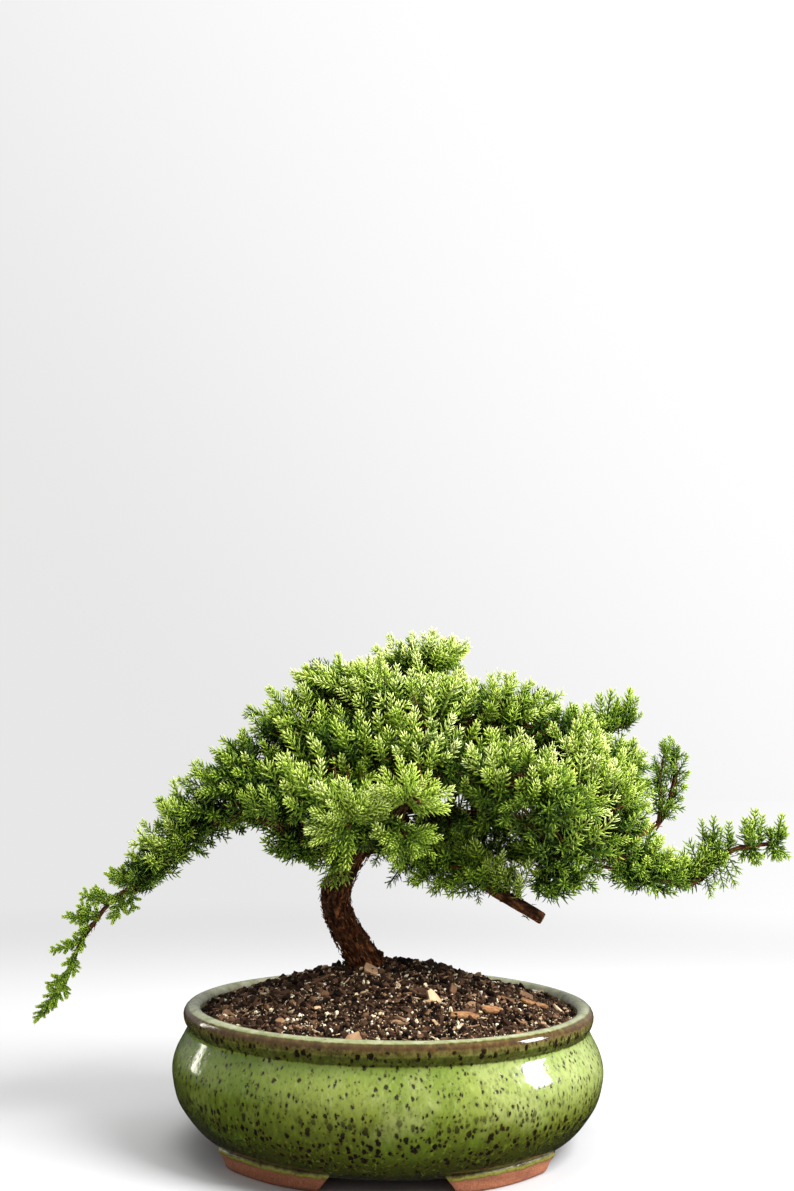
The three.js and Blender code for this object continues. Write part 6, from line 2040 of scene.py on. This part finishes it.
    # dark spiky growth that hangs below the main right branch: its darkness is painted shade under the branch, deeper
    # towards the back
    main = spline(BRANCHES["branch_right"]["main"], 1.0)
    ud = PI["under_dark"]
    for k in range(56):
        x = rng.uniform(18, 100)
        a, t = at(main, x=x)
        start = a + np.array([rng.normal(0, 4), rng.uniform(-30, 4), rng.uniform(-12, 4)])
        d = unit(np.array([rng.normal(0, 0.5), rng.normal(-0.35, 0.35), rng.normal(-0.55, 0.4)]))
        if (start + d * 20)[2] < 160 + 0.1 * x:
            d = unit(d * np.array([1, 1, -0.3]))
        depth = (start[1] + 30) / 40
        shoots.add("open" if rng.uniform() < 0.75 else "wisp", start, d, 0.40 - 0.12 * depth + rng.normal(0, 0.03), ud, rng.uniform(0.75, 1.0))
        shoots.twig(start + d, (start + a) / 2 + np.array([0, -2, 1.0]), a, 0.5, 0.9)

    # the blue-green tuft in front of the bend of the trunk
    tt = PI["trunk_tuft"]
    root = np.array([-31.0, -31.0, 169.5])
    shoots.twig(root, np.array([-34, -20, 163.0]), np.array([-31.5, -8, 156.0]), 1.2, 2.0)
    # the tuft's shoots that point down and back have lower tints as painted shade, and the forward, upward ones higher
    for d, sc, tint in (((-0.10, -0.35, -0.95), 0.82, 0.42), ((0.30, -0.45, -0.80), 0.78, 0.44), ((-0.45, -0.30, -0.85), 0.85, 0.38), ((0.1, 0.2, -0.95), 0.8, 0.3), ((-0.85, -0.35, 0.05), 0.85, 0.42), ((-0.65, -0.45, -0.45), 0.8, 0.40), ((-0.30, -0.70, -0.50), 0.72, 0.44), ((0.05, -0.75, -0.50), 0.72, 0.46),
                        ((0.40, -0.70, -0.25), 0.7, 0.44), ((0.45, -0.60, 0.35), 0.75, 0.48), ((0.0, -0.80, 0.35), 0.8, 0.50), ((-0.45, -0.70, 0.30), 0.85, 0.48),
                        ((-0.75, -0.3, 0.55), 0.9, 0.44), ((-0.1, -0.4, 0.9), 0.9, 0.44), ((-0.90, 0.1, -0.35), 0.85, 0.34), ((-0.5, -0.85, -0.05), 0.75, 0.46),
                        ((0.2, -0.9, 0.0), 0.72, 0.48), ((-0.95, -0.15, -0.15), 1.0, 0.36)):
        d = unit(np.array(d))
        b = root + d * np.array([3.5, 2, 2.5])
        shoots.add("open", b, d, tint + 0.18 + rng.normal(0, 0.02), tt, sc * 1.22, up=(0, -1, 0.3))
        shoots.twig(b + d * 0.6, root + d * 2, root, 0.5, 0.8)


TINT_AFTER = {"cascade_upper": 0.05, "cascade_mid": 0.05, "cascade_tip": 0.03, "low_branch_spray": 0.06, "under_dark": 0.04, "back_low": 0.03}


def plant(shoots, templates):
    rng = np.random.default_rng(31)
    by_pad = {}
    for row in shoots.rows:
        by_pad.setdefault(row[4], []).append(row)
    total = 0
    for pad in range(len(PADS)):
        rows = by_pad.get(pad, [])
        buf = Buf()
        groups = {}
        for row in rows:
            groups.setdefault((row[0], int(rng.integers(len(templates[row[0]])))), []).append(row)
        for (kind, pick), members in groups.items():
            verts, quads, tris, us, dvs, length = templates[kind][pick]
            m = len(members)
            base = np.array([r[1] for r in members])
            z = unit(np.array([r[2] for r in members]))
            tint = np.array([r[3] for r in members]) + TINT_AFTER.get(PADS[pad][0], 0.0)
            scale = np.array([r[5] for r in members])
            up = np.array([r[6] for r in members], float) + rng.normal(0, 0.35, (m, 3))
            x = up - z * np.einsum("ij,ij->i", up, z)[:, None]
            x = unit(x)
            y = np.cross(z, x)
            rot = np.stack([x, y, z], -1) * scale[:, None, None]
            pos = np.einsum("mij,nj->mni", rot, verts) + base[:, None]
            n = len(verts)
            off = (np.arange(m) * n)[:, None, None]
            q = (quads[None] + off).reshape(-1, 4)
            t = (tris[None] + off).reshape(-1, 3)
            U = np.broadcast_to(us[None], (m, n)).ravel() * 0.98 + 0.01
            V = np.clip(tint[:, None] + dvs[None], 0.006, 0.994).ravel()
            uv = np.stack([U, V], -1)
            buf.add(pos.reshape(-1, 3), [(q, uv[q], 0), (t, uv[t], 0)])
        name = PADS[pad][0]
        if not buf.n:
            continue
        total += buf.triangles()
        slot = "needles_bright" if name in ("front_bright", "front_low") else "needles_dark" if name in ("under_dark", "back_low", "low_branch_spray") else "needles"
        place(buf.make("needles_" + name, [NEEDLE]), slot, "foliage_" + name)
        if buf.triangles() > 190000:
            print("too many faces on", name, buf.triangles())
    print("shoots", len(shoots.rows), "needle triangles", total)


def plant_twigs(shoots):
    """All twigs as thin closed tubes, five sides each."""
    tw = shoots.twigs
    a = np.array([t[0] for t in tw])
    b = np.array([t[1] for t in tw])
    c = np.array([t[2] for t in tw])
    r0 = np.array([t[3] for t in tw])
    r1 = np.array([t[4] for t in tw])
    steps, sides = 5, 5
    s = np.linspace(0, 1, steps)[None, :, None]
    path = (1 - s) ** 2 * a[:, None] + 2 * s * (1 - s) * b[:, None] + s ** 2 * c[:, None]
    tangent = unit(np.gradient(path, axis=1))
    ref = np.where(np.abs(tangent[:, :1, 2:3]) < 0.8, np.array([0.0, 0, 1]), np.array([1.0, 0, 0]))
    u = unit(np.cross(np.broadcast_to(ref, tangent.shape), tangent))
    w = np.cross(tangent, u)
    rad = r0[:, None] + (r1 - r0)[:, None] * np.linspace(0, 1, steps)[None]
    ang = np.arange(sides) / sides * 2 * math.pi
    ring = np.cos(ang)[None, None, :, None] * u[:, :, None] + np.sin(ang)[None, None, :, None] * w[:, :, None]
    v = path[:, :, None] + rad[:, :, None, None] * ring
    m = len(tw)
    i, j = np.meshgrid(np.arange(steps - 1), np.arange(sides), indexing="ij")
    j2 = (j + 1) % sides
    q = np.stack([i * sides + j, i * sides + j2, (i + 1) * sides + j2, (i + 1) * sides + j], -1).reshape(-1, 4)
    e0 = np.arange(sides)[::-1][None]
    e1 = (np.arange(sides) + (steps - 1) * sides)[None]
    length = np.linalg.norm(c - a, axis=1)
    half = (m + 1) // 2
    for part, (lo, hi) in enumerate(((0, half), (half, m))):
        k = hi - lo
        n = steps * sides
        off = (np.arange(k) * n)[:, None, None]
        arc = np.broadcast_to((np.linspace(0, 1, steps)[None, :, None] * length[lo:hi, None, None]), (k, steps, sides))
        shift = np.arange(lo, hi)[:, None, None] * 3.7 % 97
        co = np.stack([np.cos(ang)[None, None] * rad[lo:hi][:, :, None] + shift, np.sin(ang)[None, None] * rad[lo:hi][:, :, None] + 0 * shift, arc + shift], -1)
        buf = Buf()
        buf.add(v[lo:hi].reshape(-1, 3), [((q[None] + off).reshape(-1, 4), None, 0), ((e0[None] + off).reshape(-1, sides), None, 0), ((e1[None] + off).reshape(-1, sides), None, 0)],
                co.reshape(-1, 3))
        obj = buf.make(f"twigs_{part + 1}", [TWIG], attribute="stemco")
        place(obj, "bark")


# ------------------------------------------------------------------ assembly
make_camera()
make_stage()
make_pot()
make_soil()
make_trunk()
make_branches()
TEMPLATES = make_templates()
SHOOTS = Shoots()
grow_canopy(SHOOTS, TEMPLATES)
grow_special(SHOOTS)
plant(SHOOTS, TEMPLATES)
plant_twigs(SHOOTS)
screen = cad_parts["drain_screen"]
screen.data.materials.clear()
screen.data.materials.append(SCREEN)
